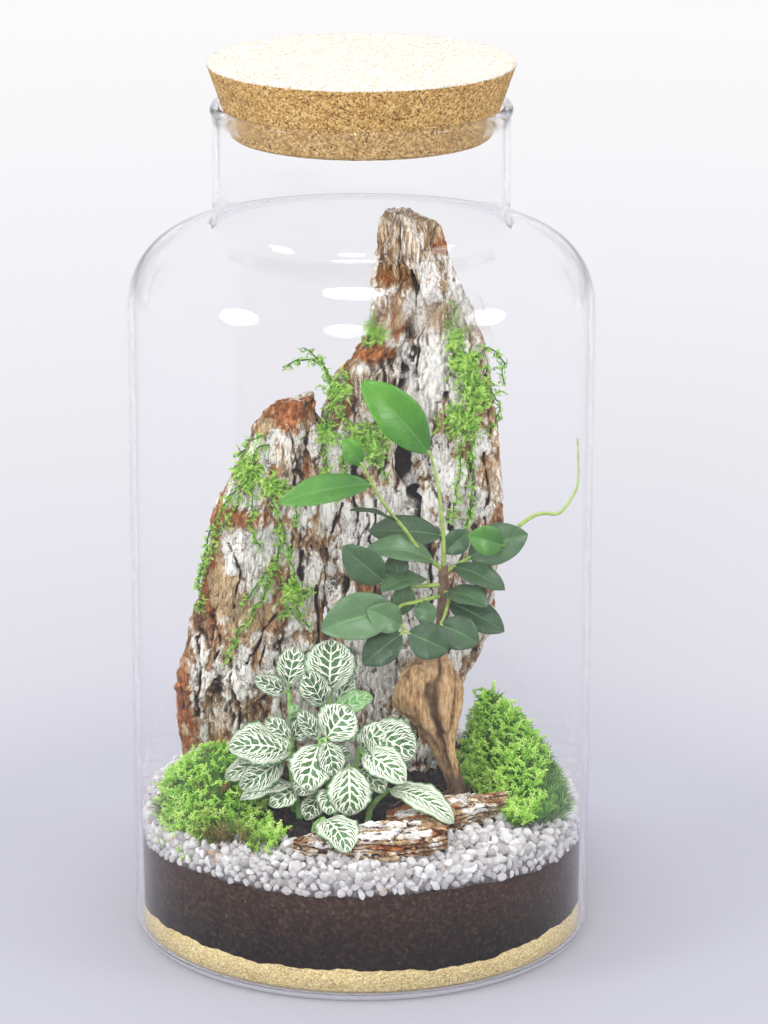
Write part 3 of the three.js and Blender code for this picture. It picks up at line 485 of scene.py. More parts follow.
jar_outside = [
    (0, 0.9),
    (60, 0.7),
    (JAR - 14, 0.0),
    *arc((JAR - 7, 7), (7, 7), -90, 0, 12),
    *arc((NECK + 6, SHOULDER), (JAR - NECK - 6, 31), 0, 76, 30),
    *arc((NECK + 7.5, 300), (7.5, 7.6), 248, 180, 10),
    (NECK, RIM - 7),
    *arc((NECK - 1.3, RIM - 2.3), (2.2, 2.3), -50, 170, 14),
]
jar_inside = [
    (INNER_NECK, RIM - 7),
    (INNER_NECK, 301),
    *arc((INNER_NECK + 6.5, 299.5), (6.5, 8.8), 180, 236, 8),
    *arc((INNER_NECK + 6, SHOULDER), (JAR - WALL - INNER_NECK - 6, 29.4), 78, 0, 30),
    *arc((JAR - WALL - 3, 5.8), (3, 3), 0, -90, 10),
    (60, 2.9),
    (0, 3.2),
]
make_piece("jar_glass", *turned(jar_outside + jar_inside), glass, "glass", ["jar"])
print("jar is", 2 * JAR, "mm wide and", RIM, "mm tall")

# %% [markdown]
# The stopper is pressed cork: granules of about a millimetre, pale tan to dark brown, glued together and
# turned to a taper. They are cells in the finish, each with a tone of its own. The sanded top is paler.

# %% Pressed cork
cork = Finish("pressed_cork", Roughness=0.88)
granule, crumb, dark_grain = cork.grain(0.95, 0), cork.grain(0.5, 1), cork.grain(0.62, 2)
cork_colour = cork.ramp(
    granule * 0.4 + crumb * 0.4 + cork.noise(6, 3) * 0.3,
    (0.12, 0.12, 0.05, 0.014), (0.34, 0.31, 0.165, 0.05), (0.6, 0.48, 0.295, 0.098),
    (0.85, 0.72, 0.51, 0.225),
)
cork_colour = cork.blend(dark_grain.step(0.84, 0.92) * 0.85, cork_colour, (0.09, 0.038, 0.014))
sanded = cork.height().step(0.3597, 0.3603)
pale = cork.ramp(granule * 0.6 + crumb * 0.4, (0.17, 0.43, 0.36, 0.27), (0.5, 0.62, 0.6, 0.54))
cork_colour = cork.blend(sanded * (0.96 - dark_grain.step(0.8, 0.95) * 0.35), cork_colour, pale)
seam = cork.cells(1.25, "DISTANCE_TO_EDGE").step(0.0, 0.08)
rough_cork = seam * 0.4 + cork.noise(0.7, 4) + granule * 0.4
cork.set(Base_Color=cork_colour, Normal=cork.bump(rough_cork, 0.3, 0.6))
print("nodes in the cork:", len(cork.tree.nodes))

# %% [markdown]
# The stopper's profile is a flat foot, a side that widens upwards, and a flat top. Its points are pushed in
# a little by a cloud, and by pits where granules have fallen out, since those dents show along the rim.

# %% Cork stopper
CORK_TOP, CORK_FOOT = 361, 331
CORK_TOP_RADIUS, CORK_FOOT_RADIUS = 61.6, 51.2


def cork_profile():
    """Rows of the taper: flat foot, chamfer, side, chamfer, flat top."""
    taper = (CORK_TOP_RADIUS - CORK_FOOT_RADIUS) / (CORK_TOP - CORK_FOOT)
    side = np.linspace(CORK_FOOT + 1.2, CORK_TOP - 1.0, 34)
    foot = [(r, CORK_FOOT) for r in np.linspace(2, CORK_FOOT_RADIUS - 1.2, 34)]
    wall = [(CORK_FOOT_RADIUS + taper * (z - CORK_FOOT), z) for z in side]
    top = [(r, CORK_TOP) for r in np.linspace(CORK_TOP_RADIUS - 1.1, 2, 40)]
    return [(0, CORK_FOOT), *foot, *wall, *top, (0, CORK_TOP)]


cork_points, cork_faces = turned(cork_profile(), 220)
pit_near, _, pit_kind, _ = patches(cork_points, 2.1, 71)
pits = 0.55 * (1 - smooth_step(pit_near, 0.1, 0.36)) * (pit_kind > 0.75)
dents = 0.12 * (1 + cloud(cork_points, 1.7, 72)) + pits
out = cork_points - [0, 0, (CORK_TOP + CORK_FOOT) / 2]
flat = np.abs(out[:, 2]) > 14.4
out = np.where(flat[:, None], out * [0, 0, 1], out * [1, 1, 0])
out /= np.maximum(np.linalg.norm(out, axis=1, keepdims=True), 1)
cork_points = cork_points - out * dents[:, None]
make_piece("cork_stopper_turned", cork_points, cork_faces, cork, "cork", ["cork_stopper"])

# %% [markdown]
# The layers show through the glass as bands. Sand and soil are smooth where they press on the glass, so
# their grain is in the finish, and the line between them wanders as it does when it is poured.

# %% Lines between the layers
FILL = 90.0


def sand_line(angle):
    """Height of the top of the sand against the glass, all round."""
    slow = 1.1 * (np.sin(3 * angle + 0.6) + 0.5 * np.sin(7 * angle))
    dip = 3.0 * np.clip(-np.sin(angle), 0, 1) ** 3
    fine = 0.35 * np.sin(23 * angle + 2) + 0.25 * np.sin(41 * angle) + 0.18 * np.sin(97 * angle + 1)
    return 15 + slow - dip + fine


def soil_line(angle):
    """Height of the top of the soil against the glass."""
    front = ((1 - np.sin(angle)) / 2) ** 3
    return 41 + 3.5 * front + 0.7 * np.sin(5 * angle + 1) + 0.4 * np.sin(29 * angle)


RING_SIDES = 360


def rings_of(rows):
    """Rings from rows of (radius, height), where a height may change round the ring."""
    angle = np.arange(RING_SIDES) / RING_SIDES * 2 * np.pi
    rings = []
    for radius, height in rows:
        height = height(angle) if callable(height) else np.full(RING_SIDES, float(height))
        rings.append(np.stack([radius * np.cos(angle), radius * np.sin(angle), height], axis=-1))
    return np.array(rings)


def layer(rows):
    """Body through rings, whose first and last rows lie on the axis."""
    return skinned(rings_of(rows[1:-1]), (0, 0, rows[0][1]), (0, 0, rows[-1][1]))


def ring_layer(rows):
    """Ring-shaped body whose section is a closed outline of (radius, height)."""
    rings = rings_of(rows)
    count, sides = rings.shape[:2]
    return rings.reshape(-1, 3), split(grid_faces(count + 1, sides, closed=True)) % (count * sides)


front_angle = -np.pi / 2
print(f"at the front: sand to {sand_line(front_angle):.1f} mm, soil to {soil_line(front_angle):.1f} mm")

# %% [markdown]
# The sand is pale river sand with grains of about half a millimetre. It lies on the floor of the jar, and
# its edge follows the round corner of the glass.

# %% Sand
sand = Finish("river_sand", Roughness=0.95)
sand_grain = sand.grain(0.42)
sand_drift = sand.noise((14, 14, 5), 3)
sand_colour = sand.ramp(
    sand_grain * 0.8 + sand_drift * 0.35,
    (0.1, 0.22, 0.15, 0.065), (0.35, 0.45, 0.335, 0.145), (0.7, 0.63, 0.5, 0.235),
    (1, 0.82, 0.71, 0.43),
)
sand.set(Base_Color=sand_colour, Normal=sand.bump(sand_grain, 0.25, 0.5))
sand_foot = [(0, 3.5), (40, 3.3), (80, 3.2), (87, 3.2), (88.6, 3.5), (89.6, 4.3), (FILL, 5.0)]
sand_rows = [*sand_foot, (FILL, sand_line), (88, 15), (30, 15), (0, 15)]
make_piece("sand_bed", *layer(sand_rows), sand, "sand", ["sand_layer"])

# %% [markdown]
# The soil is dark peat with a few orange bits of bark. Where it presses on the glass it is wet and brown,
# and on top, in the shade of the plants, it is painted nearly black as painted shade, so two ramps are
# blended by height.

# %% Peat
soil = Finish("peat_soil", Roughness=0.96)
peat = soil.noise(1.8, 6, 0.72)
peat_crumb = soil.grain(1.4)
peat_tone = peat * 0.75 + peat_crumb * 0.25
wet_peat = soil.ramp(
    peat_tone,
    (0.3, 0.007, 0.003, 0.0015), (0.5, 0.024, 0.01, 0.005), (0.66, 0.062, 0.03, 0.016),
    (0.8, 0.16, 0.085, 0.05),
)
peat_top_painted_shade = soil.ramp(
    peat_tone,
    (0.35, 0.003, 0.003, 0.003), (0.55, 0.012, 0.01, 0.009), (0.68, 0.045, 0.032, 0.024),
    (0.78, 0.2, 0.13, 0.08),
)
# Painted shade: the top of the soil is made nearly black, where the plants shade it.
peat_colour = soil.blend(soil.height().step(0.047, 0.053), wet_peat, peat_top_painted_shade)
orange_bit = soil.cells(5.2).step(0.075, 0.05) * soil.noise(16, 1).step(0.5, 0.6)
peat_colour = soil.blend(orange_bit, peat_colour, (0.34, 0.12, 0.045))
soil.set(Base_Color=peat_colour, Normal=soil.bump(peat + peat_crumb * 0.4, 0.8, 0.7))
print("nodes in the peat:", len(soil.tree.nodes))

# %% [markdown]
# The soil rises in the middle to a lumpy mound that carries the plants. The lumps are a cloud added to its
# height, so that whatever lies on it can ask for the same height.

# %% Soil
MOUND_TOP, MOUND_EDGE = 61.5, 57.5


def mound(radius, angle):
    """Height of the top of the soil inside the ring of gravel."""
    height = MOUND_TOP + (MOUND_EDGE - MOUND_TOP) * np.clip((radius - 44) / 27.6, 0, 1)
    return height + 0.8 * np.sin(4 * angle + radius)


def soil_lumps(points):
    """How far the lumps of the mound stand up, at points on it."""
    return 1.1 * cloud(points, 9, 81) + 0.9 * cloud(points, 3.2, 82) - 0.6


soil_rows = [(0, 15.2), (30, 15.2), (88, 15.2), (FILL, lambda a: sand_line(a) + 0.15)]
soil_rows += [(FILL, soil_line), (88, lambda a: soil_line(a) + 1), (73, 49), (71.9, 50), (71.6, 57)]
soil_rows += [(radius, lambda a, r=radius: mound(r, a)) for radius in np.linspace(70.8, 2, 60)]
soil_rows.append((0, MOUND_TOP))
soil_points, soil_faces = layer(soil_rows)
on_top = (soil_points[:, 2] > 55) & (np.hypot(soil_points[:, 0], soil_points[:, 1]) < 71)
soil_points[:, 2] += np.where(on_top, soil_lumps(soil_points), 0)
make_piece("soil_mound", soil_points, soil_faces, soil, "soil", ["soil_layer"])

# %% [markdown]
# The gravel is pale crushed stone, three to five millimetres across, with its corners worn off. A stone is
# a ball cut by a few planes, then wrapped in flat faces. A few such shapes are copied by the hundred, each
# copy with its own turn and size.

# %% Stones and crumbs
def hull(points):
    """Triangles round a handful of points."""
    body = bmesh.new()
    corners = [body.verts.new(p) for p in points]
    made = bmesh.ops.convex_hull(body, input=corners)
    unused = set(made["geom_interior"]) | set(made["geom_unused"])
    bmesh.ops.delete(body, geom=[v for v in unused if isinstance(v, bmesh.types.BMVert)], context="VERTS")
    bmesh.ops.triangulate(body, faces=body.faces[:])
    bmesh.ops.recalc_face_normals(body, faces=body.faces)
    body.verts.index_update()
    shape = np.array([v.co for v in body.verts]), np.array([[v.index for v in f.verts] for f in body.faces])
    body.free()
    return shape


def stone_shape(draw, corners, sizes):
    """Stone about two units across: a ball cut by a few planes."""
    number = np.arange(corners)
    height = 1 - 2 * (number + 0.5) / corners
    turn = number * np.pi * (3 - math.sqrt(5))
    level = np.sqrt(1 - height**2)
    ball = np.stack([level * np.cos(turn), level * np.sin(turn), height], axis=-1)
    cuts = unit(draw.normal(size=(7, 3)))
    cosine = np.maximum(ball @ cuts.T, 0.05)
    reach = np.minimum(1, (draw.uniform(0.5, 0.8, 7) / cosine).min(axis=1))
    return hull(ball * reach[:, None] * 1.25 * np.asarray(sizes))


def spaced(draw, count, inner, outer, gap):
    """Places in a ring that keep a gap between them."""
    places = np.zeros((0, 2))
    radii, angles = np.sqrt(draw.uniform(inner**2, outer**2, count)), draw.uniform(0, 2 * np.pi, count)
    for radius, turn in zip(radii, angles):
        place = np.array([radius * math.cos(turn), radius * math.sin(turn)])
        if not len(places) or np.hypot(*(places - place).T).min() > gap:
            places = np.vstack([places, place])
    return places


def turns(draw, count):
    """Random rotations, as matrices."""
    w, x, y, z = unit(draw.normal(size=(count, 4))).T
    rows = [
        [1 - 2 * (y * y + z * z), 2 * (x * y - z * w), 2 * (x * z + y * w)],
        [2 * (x * y + z * w), 1 - 2 * (x * x + z * z), 2 * (y * z - x * w)],
        [2 * (x * z - y * w), 2 * (y * z + x * w), 1 - 2 * (x * x + y * y)],
    ]
    return np.array(rows).transpose(2, 0, 1)


def copies(shapes, kinds, matrices, places):
    """Copies of a few shapes by matrix and place, and the copy's number for each point."""
    parts, names = [], []
    for kind, (points, faces) in enumerate(shapes):
        chosen = np.flatnonzero(kinds == kind)
        moved = np.einsum("nij,pj->npi", matrices[chosen], points) + places[chosen, None]
        shift = np.arange(len(chosen))[:, None, None] * len(points)
        parts.append((moved.reshape(-1, 3), (faces[None] + shift).reshape(-1, 3)))
        names.append(np.repeat(chosen, len(points)))
    points, faces = several(parts)
    return points, faces, np.concatenate(names)


print("corners of a test stone:", len(stone_shape(np.random.default_rng(0), 44, (1, 1, 1))[0]))

# %% [markdown]
# The stones lie in a ring round the mound. Four rows stand against the glass, and three loose layers cover
# the bed behind them. A stone that would cut into the glass is squeezed back to it.

# %% Gravel
def bed_height(radius):
    """Height of the bed of gravel, which falls from the mound to the glass."""
    return 57.5 - 4.5 * np.clip((radius - 72.3) / 17.7, 0, 1.1)


STONES_IN_ROW = 132
gravel_draw = np.random.default_rng(7)
stone_shapes = [stone_shape(gravel_draw, 44, (1.2, 1.0, 0.86)) for _ in range(14)]


def gravel_places():
    """Middles and sizes of the stones: rows against the glass, then layers over the bed."""
    places, sizes = [], []
    for row in range(4):
        size = gravel_draw.uniform(1.4, 2.4, STONES_IN_ROW)
        turn = np.arange(STONES_IN_ROW) / STONES_IN_ROW * 2 * np.pi
        turn = turn + gravel_draw.uniform(-0.012, 0.012, STONES_IN_ROW) + 0.024 * (row % 2)
        low = soil_line(turn) + 1.9
        z = low + (bed_height(89) - low) * row / 3.3 + gravel_draw.uniform(-0.7, 0.7, STONES_IN_ROW)
        radius = 90.3 - size * gravel_draw.uniform(1.0, 1.25, STONES_IN_ROW)
        places.append(np.stack([radius * np.cos(turn), radius * np.sin(turn), z], axis=-1))
        sizes.append(size)
    for lift, gap in ((-1.4, 2.6), (0.3, 2.9), (1.5, 3.8)):
        flat = spaced(gravel_draw, 4200, 68.5, 88.2, gap)
        z = bed_height(np.hypot(*flat.T)) + lift + gravel_draw.uniform(-0.4, 0.6, len(flat))
        places.append(np.column_stack([flat, z]))
        sizes.append(gravel_draw.uniform(1.25, 2.35, len(flat)))
    return np.concatenate(places), np.concatenate(sizes)


stone_places, stone_sizes = gravel_places()
stone_count = len(stone_places)
print("stones:", stone_count)
stone_turns = turns(gravel_draw, stone_count) * stone_sizes[:, None, None]
stone_kinds = gravel_draw.integers(0, len(stone_shapes), stone_count)
stone_points, stone_faces, stone_names = copies(stone_shapes, stone_kinds, stone_turns, stone_places)
reach = np.hypot(stone_points[:, 0], stone_points[:, 1])
stone_points[:, :2] *= np.minimum(1, 90.35 / reach)[:, None]

# %% [markdown]
# Every stone has a tone of its own, carried by the mesh, and one in thirty is stained with rust. The faces
# are shaded flat, because crushed stone has facets.

# %% Finish of the gravel
gravel = Finish("crushed_white_stone", Roughness=0.8)
stone_tone = gravel.mark("tone")
stone_grain = gravel.noise(0.8, 4, 0.6)
gravel_colour = gravel.ramp(
    stone_tone * 0.75 + stone_grain * 0.35,
    (0.1, 0.3, 0.285, 0.275), (0.4, 0.46, 0.445, 0.435), (0.95, 0.67, 0.655, 0.645),
)
stain = gravel.noise(2.2, 2).step(0.5, 0.62) * gravel.mark("rusty")
gravel_colour = gravel.blend(stain, gravel_colour, (0.45, 0.27, 0.15))
gravel.set(Base_Color=gravel_colour, Normal=gravel.bump(stone_grain, 0.3, 0.5))
tones = gravel_draw.uniform(0, 1, stone_count)
rusty = (gravel_draw.uniform(0, 1, stone_count) > 0.965).astype(float)
gravel_marks = {"tone": tones[stone_names], "rusty": rusty[stone_names]}
make_piece(
    "gravel_stones", stone_points, stone_faces, gravel, "gravel", ["gravel_layer"], marks=gravel_marks,
    smooth=False,
)

# %% [markdown]
# Loose crumbs lie on the soil: small dark stones and a few chips of bark. Each one is set at the height of
# the soil under it, sunk in by a third.

# %% Crumbs on the soil
crumb_draw = np.random.default_rng(17)
crumb_count = 1500
crumb_radius = 71 * np.sqrt(crumb_draw.uniform(0, 1, crumb_count))
crumb_turn = crumb_draw.uniform(0, 2 * np.pi, crumb_count)
crumb_x, crumb_y = crumb_radius * np.cos(crumb_turn), crumb_radius * np.sin(crumb_turn)
crumb_z = mound(crumb_radius, crumb_turn)
crumb_z = crumb_z + soil_lumps(np.column_stack([crumb_x, crumb_y, crumb_z]))
crumb_sizes = 0.35 + 1.15 * crumb_draw.uniform(0, 1, crumb_count) ** 3
crumb_places = np.column_stack([crumb_x, crumb_y, crumb_z + crumb_sizes * 0.3])
crumb_points, crumb_faces, crumb_names = copies(
    stone_shapes, crumb_draw.integers(0, len(stone_shapes), crumb_count),
    turns(crumb_draw, crumb_count) * crumb_sizes[:, None, None], crumb_places,
)
crumbs = Finish("peat_crumbs", Roughness=0.95)
crumb_colour = crumbs.ramp(
    crumbs.mark("tone") * 0.8 + crumbs.noise(0.7, 3) * 0.25,
    (0.2, 0.006, 0.004, 0.003), (0.6, 0.03, 0.019, 0.013), (0.85, 0.1, 0.055, 0.03),
    (0.97, 0.34, 0.2, 0.11),
)
crumbs.set(Base_Color=crumb_colour, Normal=crumbs.bump(crumbs.noise(0.5, 3), 0.4, 0.4))
crumb_marks = {"tone": crumb_draw.uniform(0, 1, crumb_count)[crumb_names]}
make_piece(
    "soil_crumbs", crumb_points, crumb_faces, crumbs, "soil", ["soil_layer"], marks=crumb_marks,
    smooth=False,
)

# %% [markdown]
# Under the loose stones lies a solid bed, so that no gap shows between them. It is darker than the
# stones, partly as stone dust and partly as painted shade in the gaps.

# %% Gravel bed
bed_rows = [(73.4, 49.4), (88, lambda a: soil_line(a) + 1.2), (89.6, soil_line), (88.4, 51.5), (86, 52)]
bed_rows += [(80, 53.4), (74, 55), (72.3, 55), (71.9, 52)]
dust_bed = Finish("stone_dust_and_gap_shade", Roughness=0.95)
dust_tone = dust_bed.grain(1.6) * 0.6 + dust_bed.noise(1.2, 3) * 0.4
# Painted shade: the bed is darker than the stones, so the gaps between them read as shade.
dust_and_gap_shade_colour = dust_bed.ramp(dust_tone, (0.2, 0.13, 0.12, 0.115), (0.8, 0.4, 0.385, 0.375))
dust_bed.set(Base_Color=dust_and_gap_shade_colour, Normal=dust_bed.bump(dust_tone, 0.8, 0.8))
make_piece("gravel_bed", *ring_layer(bed_rows), dust_bed, "gravel", ["gravel_layer"])

# %% [markdown]
# Two slabs of pine bark stand upright in the soil, and two flakes lie at the front. Bark could be sculpted
# by hand, but a rule suits it better. A slab starts as a stack of rounded sections, each given by a row:
# place along the slab, low side, high side, middle depth, thickness and tilt. Slow waves make its ridges,
# and the tall slab has one deep crevice down its front.

# %% Slabs of bark as stacked sections
TALL_ROWS = [
    [46, -13, 39, 25, 29, 0], [70, -15, 39.5, 25, 31, 0], [88, -16, 40, 24, 31, 0],
    [97, -16, 43.5, 24, 31, 0], [106, -16, 47, 24, 31, 0], [117, -15.5, 51.5, 24, 31, 0],
    [140, -16, 55.5, 24, 30, 0], [165, -17.5, 58.5, 24, 29, 0], [190, -19, 57, 24, 28, 0],
    [204, -18.5, 54, 24, 28, 0], [216, -15.5, 53, 24, 27, 0], [228, -11.5, 52, 24, 26, 1],
    [234, -5, 50.5, 24, 25, 0], [242, 0, 48.5, 24, 24, 0], [250, 3.2, 46.5, 24, 23, 0],
    [259, 4.6, 44, 24, 22, 0], [267, 4.2, 40, 24, 21, 0], [276, 4.8, 35, 24, 20, 0],
    [283, 5.6, 32.5, 24, 19, -1.5], [288.5, 7.5, 29, 24, 15, -3],
]
LEFT_ROWS = [
    [46, -74, -14, 24, 24, 0], [68, -76, -13.5, 24, 26, 0], [80, -76.5, -13.5, 23, 27, 0],
    [92, -76.5, -13.5, 22, 27, 0], [102, -76, -13.5, 22, 27, 0], [110, -73, -13.5, 22, 27, 0],
    [122, -70, -13.5, 22, 26, 0], [148, -65, -13.5, 22, 25, 0], [165, -61, -13.5, 22, 24, 0],
    [175, -57.5, -13.5, 22, 23, 0], [187, -53, -14, 22, 22, 0], [197, -46, -14.5, 22, 21, 0],
    [207, -43, -15.5, 22, 18, 0], [217, -35, -19, 22, 13, 2],
]
FRONT_LEFT_ROWS = [
    [-27, -75, -69, 59, 4, 0], [-20, -79, -66, 59.5, 8, 0], [-8, -82, -63, 60.5, 10, 0],
    [8, -82.5, -62, 61.5, 13, 0], [22, -81, -61, 62, 14, 0], [29, -78, -62, 62, 13, 0],
    [34, -75, -67, 62, 8, 0],
]
FRONT_RIGHT_ROWS = [
    [10, -60, -48, 62, 8, 0], [22, -60.5, -43, 63, 12, 0], [34, -60, -40, 63.5, 13, 0],
    [46, -50, -34, 63.5, 12, 0], [59, -38, -28, 63.5, 7, 0],
]
TALL = {"axis": "z", "rows": TALL_ROWS, "seed": 1.7, "relief": 1.25, "crevice": True}
LEFT = {"axis": "z", "rows": LEFT_ROWS, "seed": 4.1, "relief": 1.2, "crevice": False}
FRONT_LEFT = {"axis": "x", "rows": FRONT_LEFT_ROWS, "seed": 2.3, "relief": 0.8, "crevice": False}
FRONT_RIGHT = {"axis": "x", "rows": FRONT_RIGHT_ROWS, "seed": 5.9, "relief": 0.7, "crevice": False}


def row_at(rows, place):
    """The five values of a row, at places between the rows."""
    rows = np.asarray(rows, float)
    return [np.interp(place, rows[:, 0], rows[:, i]) for i in range(1, rows.shape[1])]


def slab_skin(slab, angle, place):
    """Points of a slab's skin at angles round it and places along it. Its front is at -90 degrees."""
    low, high, middle, thickness, tilt = row_at(slab["rows"], place)
    c, s = np.cos(angle), np.sin(angle)
    across = np.sign(c) * np.abs(c) ** 0.8
    deep = np.sign(s) * np.abs(s) ** 0.65
    seed = slab["seed"]
    ridges = np.sin(5 * angle + 0.9 * np.sin(place / 19) + seed)
    ridges = ridges + 0.7 * np.sin(8 * angle - place / 15 + 2 * seed)
    ridges = ridges + 0.5 * np.sin(place / 6.5 + 3 * angle + seed)
    push = slab["relief"] * (ridges - 0.6)
    if slab["crevice"]:
        wander = 2.0 * np.sin(place / 6.1) + 1.2 * np.sin(place / 2.7 + 1)
        off = (low + high) / 2 + (high - low) / 2 * across - 20 + 0.03 * (place - 150) + wander
        inside = (s < 0) * smooth_step(place, 160, 178) * (1 - smooth_step(place, 244, 262))
        push = push - inside * 4.5 * np.exp(-((off / (2.4 + np.sin(place / 4.3))) ** 2))
    u = (low + high) / 2 + ((high - low) / 2 + push) * across
    v = middle + (thickness / 2 + push) * deep
    w = place + tilt * across
    return np.stack([u, v, w] if slab["axis"] == "z" else [w, u, v], axis=-1)


def even_angles(slab, count):
    """Angles at equal steps round an average section, closer in front than behind."""
    places = np.full(4001, np.mean([row[0] for row in slab["rows"]]))
    angle = np.linspace(-np.pi, np.pi, 4001)
    skin = slab_skin({**slab, "relief": 0, "crevice": False}, angle, places)
    steps = np.linalg.norm(np.diff(skin, axis=0), axis=1) * np.where(np.sin(angle[1:]) < 0.2, 1.5, 0.8)
    walked = np.concatenate([[0], np.cumsum(steps)])
    return np.interp(np.arange(count) / count * walked[-1], walked, angle)


def grid_normals(grid):
    """Outward directions at the points of a grid that is closed round its columns."""
    round_way = np.roll(grid, -1, axis=1) - np.roll(grid, 1, axis=1)
    normal = np.cross(round_way, np.gradient(grid, axis=0))
    return unit(normal)


print("front of the tall slab at 150 mm:", slab_skin(TALL, np.array(-np.pi / 2), np.array(150.0)).round(1))

# %% [markdown]
# The deepest cracks, the ledges and the boldest colours are listed one by one, where the real slabs have
# them.
# A crack or a ledge is a broken line in the plane of the front, with a half width and a depth or height. A
# stain is a soft spot.

# %% Cracks, ledges and stains listed one by one
def near_line(x, z, line):
    """Distance from points to a broken line, both in the plane of the front."""
    best = np.full(np.shape(x), 1e9)
    for (x0, z0), (x1, z1) in zip(line, line[1:]):
        dx, dz = x1 - x0, z1 - z0
        t = np.clip(((x - x0) * dx + (z - z0) * dz) / (dx * dx + dz * dz), 0, 1)
        best = np.minimum(best, np.hypot(x - x0 - t * dx, z - z0 - t * dz))
    return best


def stains(x, z, spots):
    """Sum of soft spots given as (x, z, half width, half height, amount)."""
    total = np.zeros(np.shape(x))
    for cx, cz, rx, rz, amount in spots:
        total += amount * np.exp(-(((x - cx) / rx) ** 2) - ((z - cz) / rz) ** 2)
    return total


TALL_CRACKS = [
    ([(15, 292), (15.5, 284), (13, 274), (14, 266)], 0.8, 2.2),
    ([(20, 272), (22, 264), (21, 256), (18, 250)], 1, 2.4),
    ([(18, 251), (20.5, 243), (19.5, 236), (16, 228), (17, 219)], 1.9, 4.4),
    ([(17, 220), (20, 208), (17, 198), (18, 190), (21, 178)], 2.5, 5.4),
    ([(14, 238), (12, 230), (13.5, 220), (12, 208)], 0.8, 2.6),
    ([(23, 240), (21, 231), (22.5, 222)], 0.7, 2.2),
    ([(22, 180), (21.5, 170)], 3.2, 6),
    ([(22, 171), (26, 164), (29, 150), (28, 132), (27, 112)], 1.1, 2.4),
    ([(8, 236), (9, 222), (7, 210)], 1, 2.2),
    ([(12, 236), (12.5, 224), (14, 212)], 0.9, 2),
    ([(-8, 175), (-13, 160), (-15, 144)], 0.9, 2.2),
    ([(-7.5, 144), (-8, 135)], 2.4, 4.5),
    ([(30, 258), (24, 248), (22, 236)], 0.7, 1.6),
    ([(26, 246), (27, 238), (24, 228)], 0.5, 1.3),
    ([(44, 196), (46, 180), (44, 164), (47, 146)], 0.9, 2.2),
    ([(50, 196), (52, 178), (50, 160)], 0.7, 1.8),
    ([(6, 176), (4, 160), (7, 148), (5, 132)], 0.8, 1.8),
    ([(-2, 200), (-4, 184), (-2, 168)], 1.2, 2.4),
    ([(36, 170), (38, 150), (36, 128)], 1.1, 2.4),
]
TALL_LEDGES = [
    ([(-5, 234.5), (4, 237), (12, 241), (15, 247), (15.5, 254), (12, 258)], 2, 2.4),
    ([(30, 205), (38, 209), (44, 208)], 1.8, 1.4),
    ([(24, 262), (34, 266), (38, 262)], 1.6, 1.2),
]
LEFT_CRACKS = [
    ([(-51, 186), (-47, 183)], 2, 3.5),
    ([(-47, 108), (-41, 121), (-35, 128)], 1, 2.4),
    ([(-42, 102), (-40, 116)], 0.8, 2),
    ([(-25, 154), (-24, 142), (-26, 132)], 1.2, 2.4),
    ([(-18, 140), (-17.5, 118), (-19, 96)], 1.4, 3.6),
    ([(-30, 206), (-26, 196), (-27, 184), (-22, 172)], 0.8, 2.2),
    ([(-62, 128), (-58, 118), (-60, 104)], 0.9, 2),
    ([(-54, 158), (-50, 146), (-52, 132)], 0.8, 1.8),
    ([(-68, 118), (-66, 100), (-68, 84)], 0.9, 2.2),
    ([(-56, 100), (-50, 88), (-52, 74)], 1, 2.4),
]
LEFT_LEDGES = [
    ([(-39, 213), (-33, 216), (-26, 223), (-19, 217)], 2.4, 2.2),
    ([(-60, 166), (-50, 169), (-41, 167)], 2.6, 1.6),
    ([(-40, 204), (-33, 206), (-28, 203)], 1.5, 1.4),
    ([(-78, 96), (-70, 92), (-62, 95)], 2, 1.6),
]
# Stains: x, z, half width, half height, amount.
TALL_FROST = [
    (29, 232, 8, 15, 2), (27, 262, 5, 9, 0.4), (38, 266, 8, 9, 0.9), (8, 166, 9, 16, 1),
    (-4, 158, 5, 8, 0.8), (45, 171, 5, 12, 0.8), (12, 244, 4, 7, 0.5), (17, 286, 3, 9, 0.9),
    (30, 276, 7, 3, 0.9), (30, 190, 8, 14, 0.6), (4, 196, 6, 10, 0.5), (46, 132, 8, 14, 0.5),
    (20, 128, 10, 16, 0.6), (0, 112, 10, 16, 0.5), (10, 229, 6, 5, 0.5),
]
TALL_RUST = [
    (5, 237, 11, 3.4, 1.6), (14, 248, 2.4, 9, 1.2), (27, 261, 3, 5, 0.8), (32, 285, 3.2, 7, 2.2),
    (51, 176, 6, 18, 0.7), (2, 141, 8, 6, 0.8), (-12, 192, 5, 12, 0.7), (8, 247, 7, 8, 1.1),
    (8, 268, 7, 4, 0.8), (48, 222, 4, 10, 0.6), (-16, 222, 5, 6, 0.9),
]
TALL_OCHRE = [
    (33, 256, 6, 10, 1.4), (33, 208, 4, 6, 1), (26, 287, 7, 8, 1.3), (9, 286, 5, 9, 1.1),
    (30, 268, 8, 4, 1), (53, 180, 4, 16, 0.6), (15, 252, 2, 5, 0.8), (24, 268, 5, 3, 0.6),
    (-10, 168, 4, 8, 0.4),
]
TALL_FIBROUS = [
    (20, 286, 20, 11, 1.5), (6, 222, 11, 10, 1.3), (12, 206, 6, 14, 1), (9, 246, 7, 10, 0.8),
    (2, 186, 8, 10, 0.5),
]
LEFT_FIBROUS = [
    (-29, 197, 9, 11, 1), (-24, 178, 8, 12, 0.6), (-38, 122, 8, 10, 0.7), (-62, 84, 10, 10, 0.6),
    (-30, 92, 8, 14, 0.6),
]
LEFT_FROST = [
    (-48, 153, 9, 15, 1.5), (-38, 158, 5, 12, 0.8), (-48, 175, 5, 4, 0.9), (-39, 199, 6, 5, 1.1),
    (-27, 198, 6, 8, 0.8), (-36, 156, 8, 10, 0.6), (-58, 100, 14, 20, 0.7), (-32, 112, 8, 14, 0.8),
    (-24, 176, 5, 10, 0.6), (-44, 206, 4, 4, 0.8), (-28, 84, 10, 14, 0.5),
]
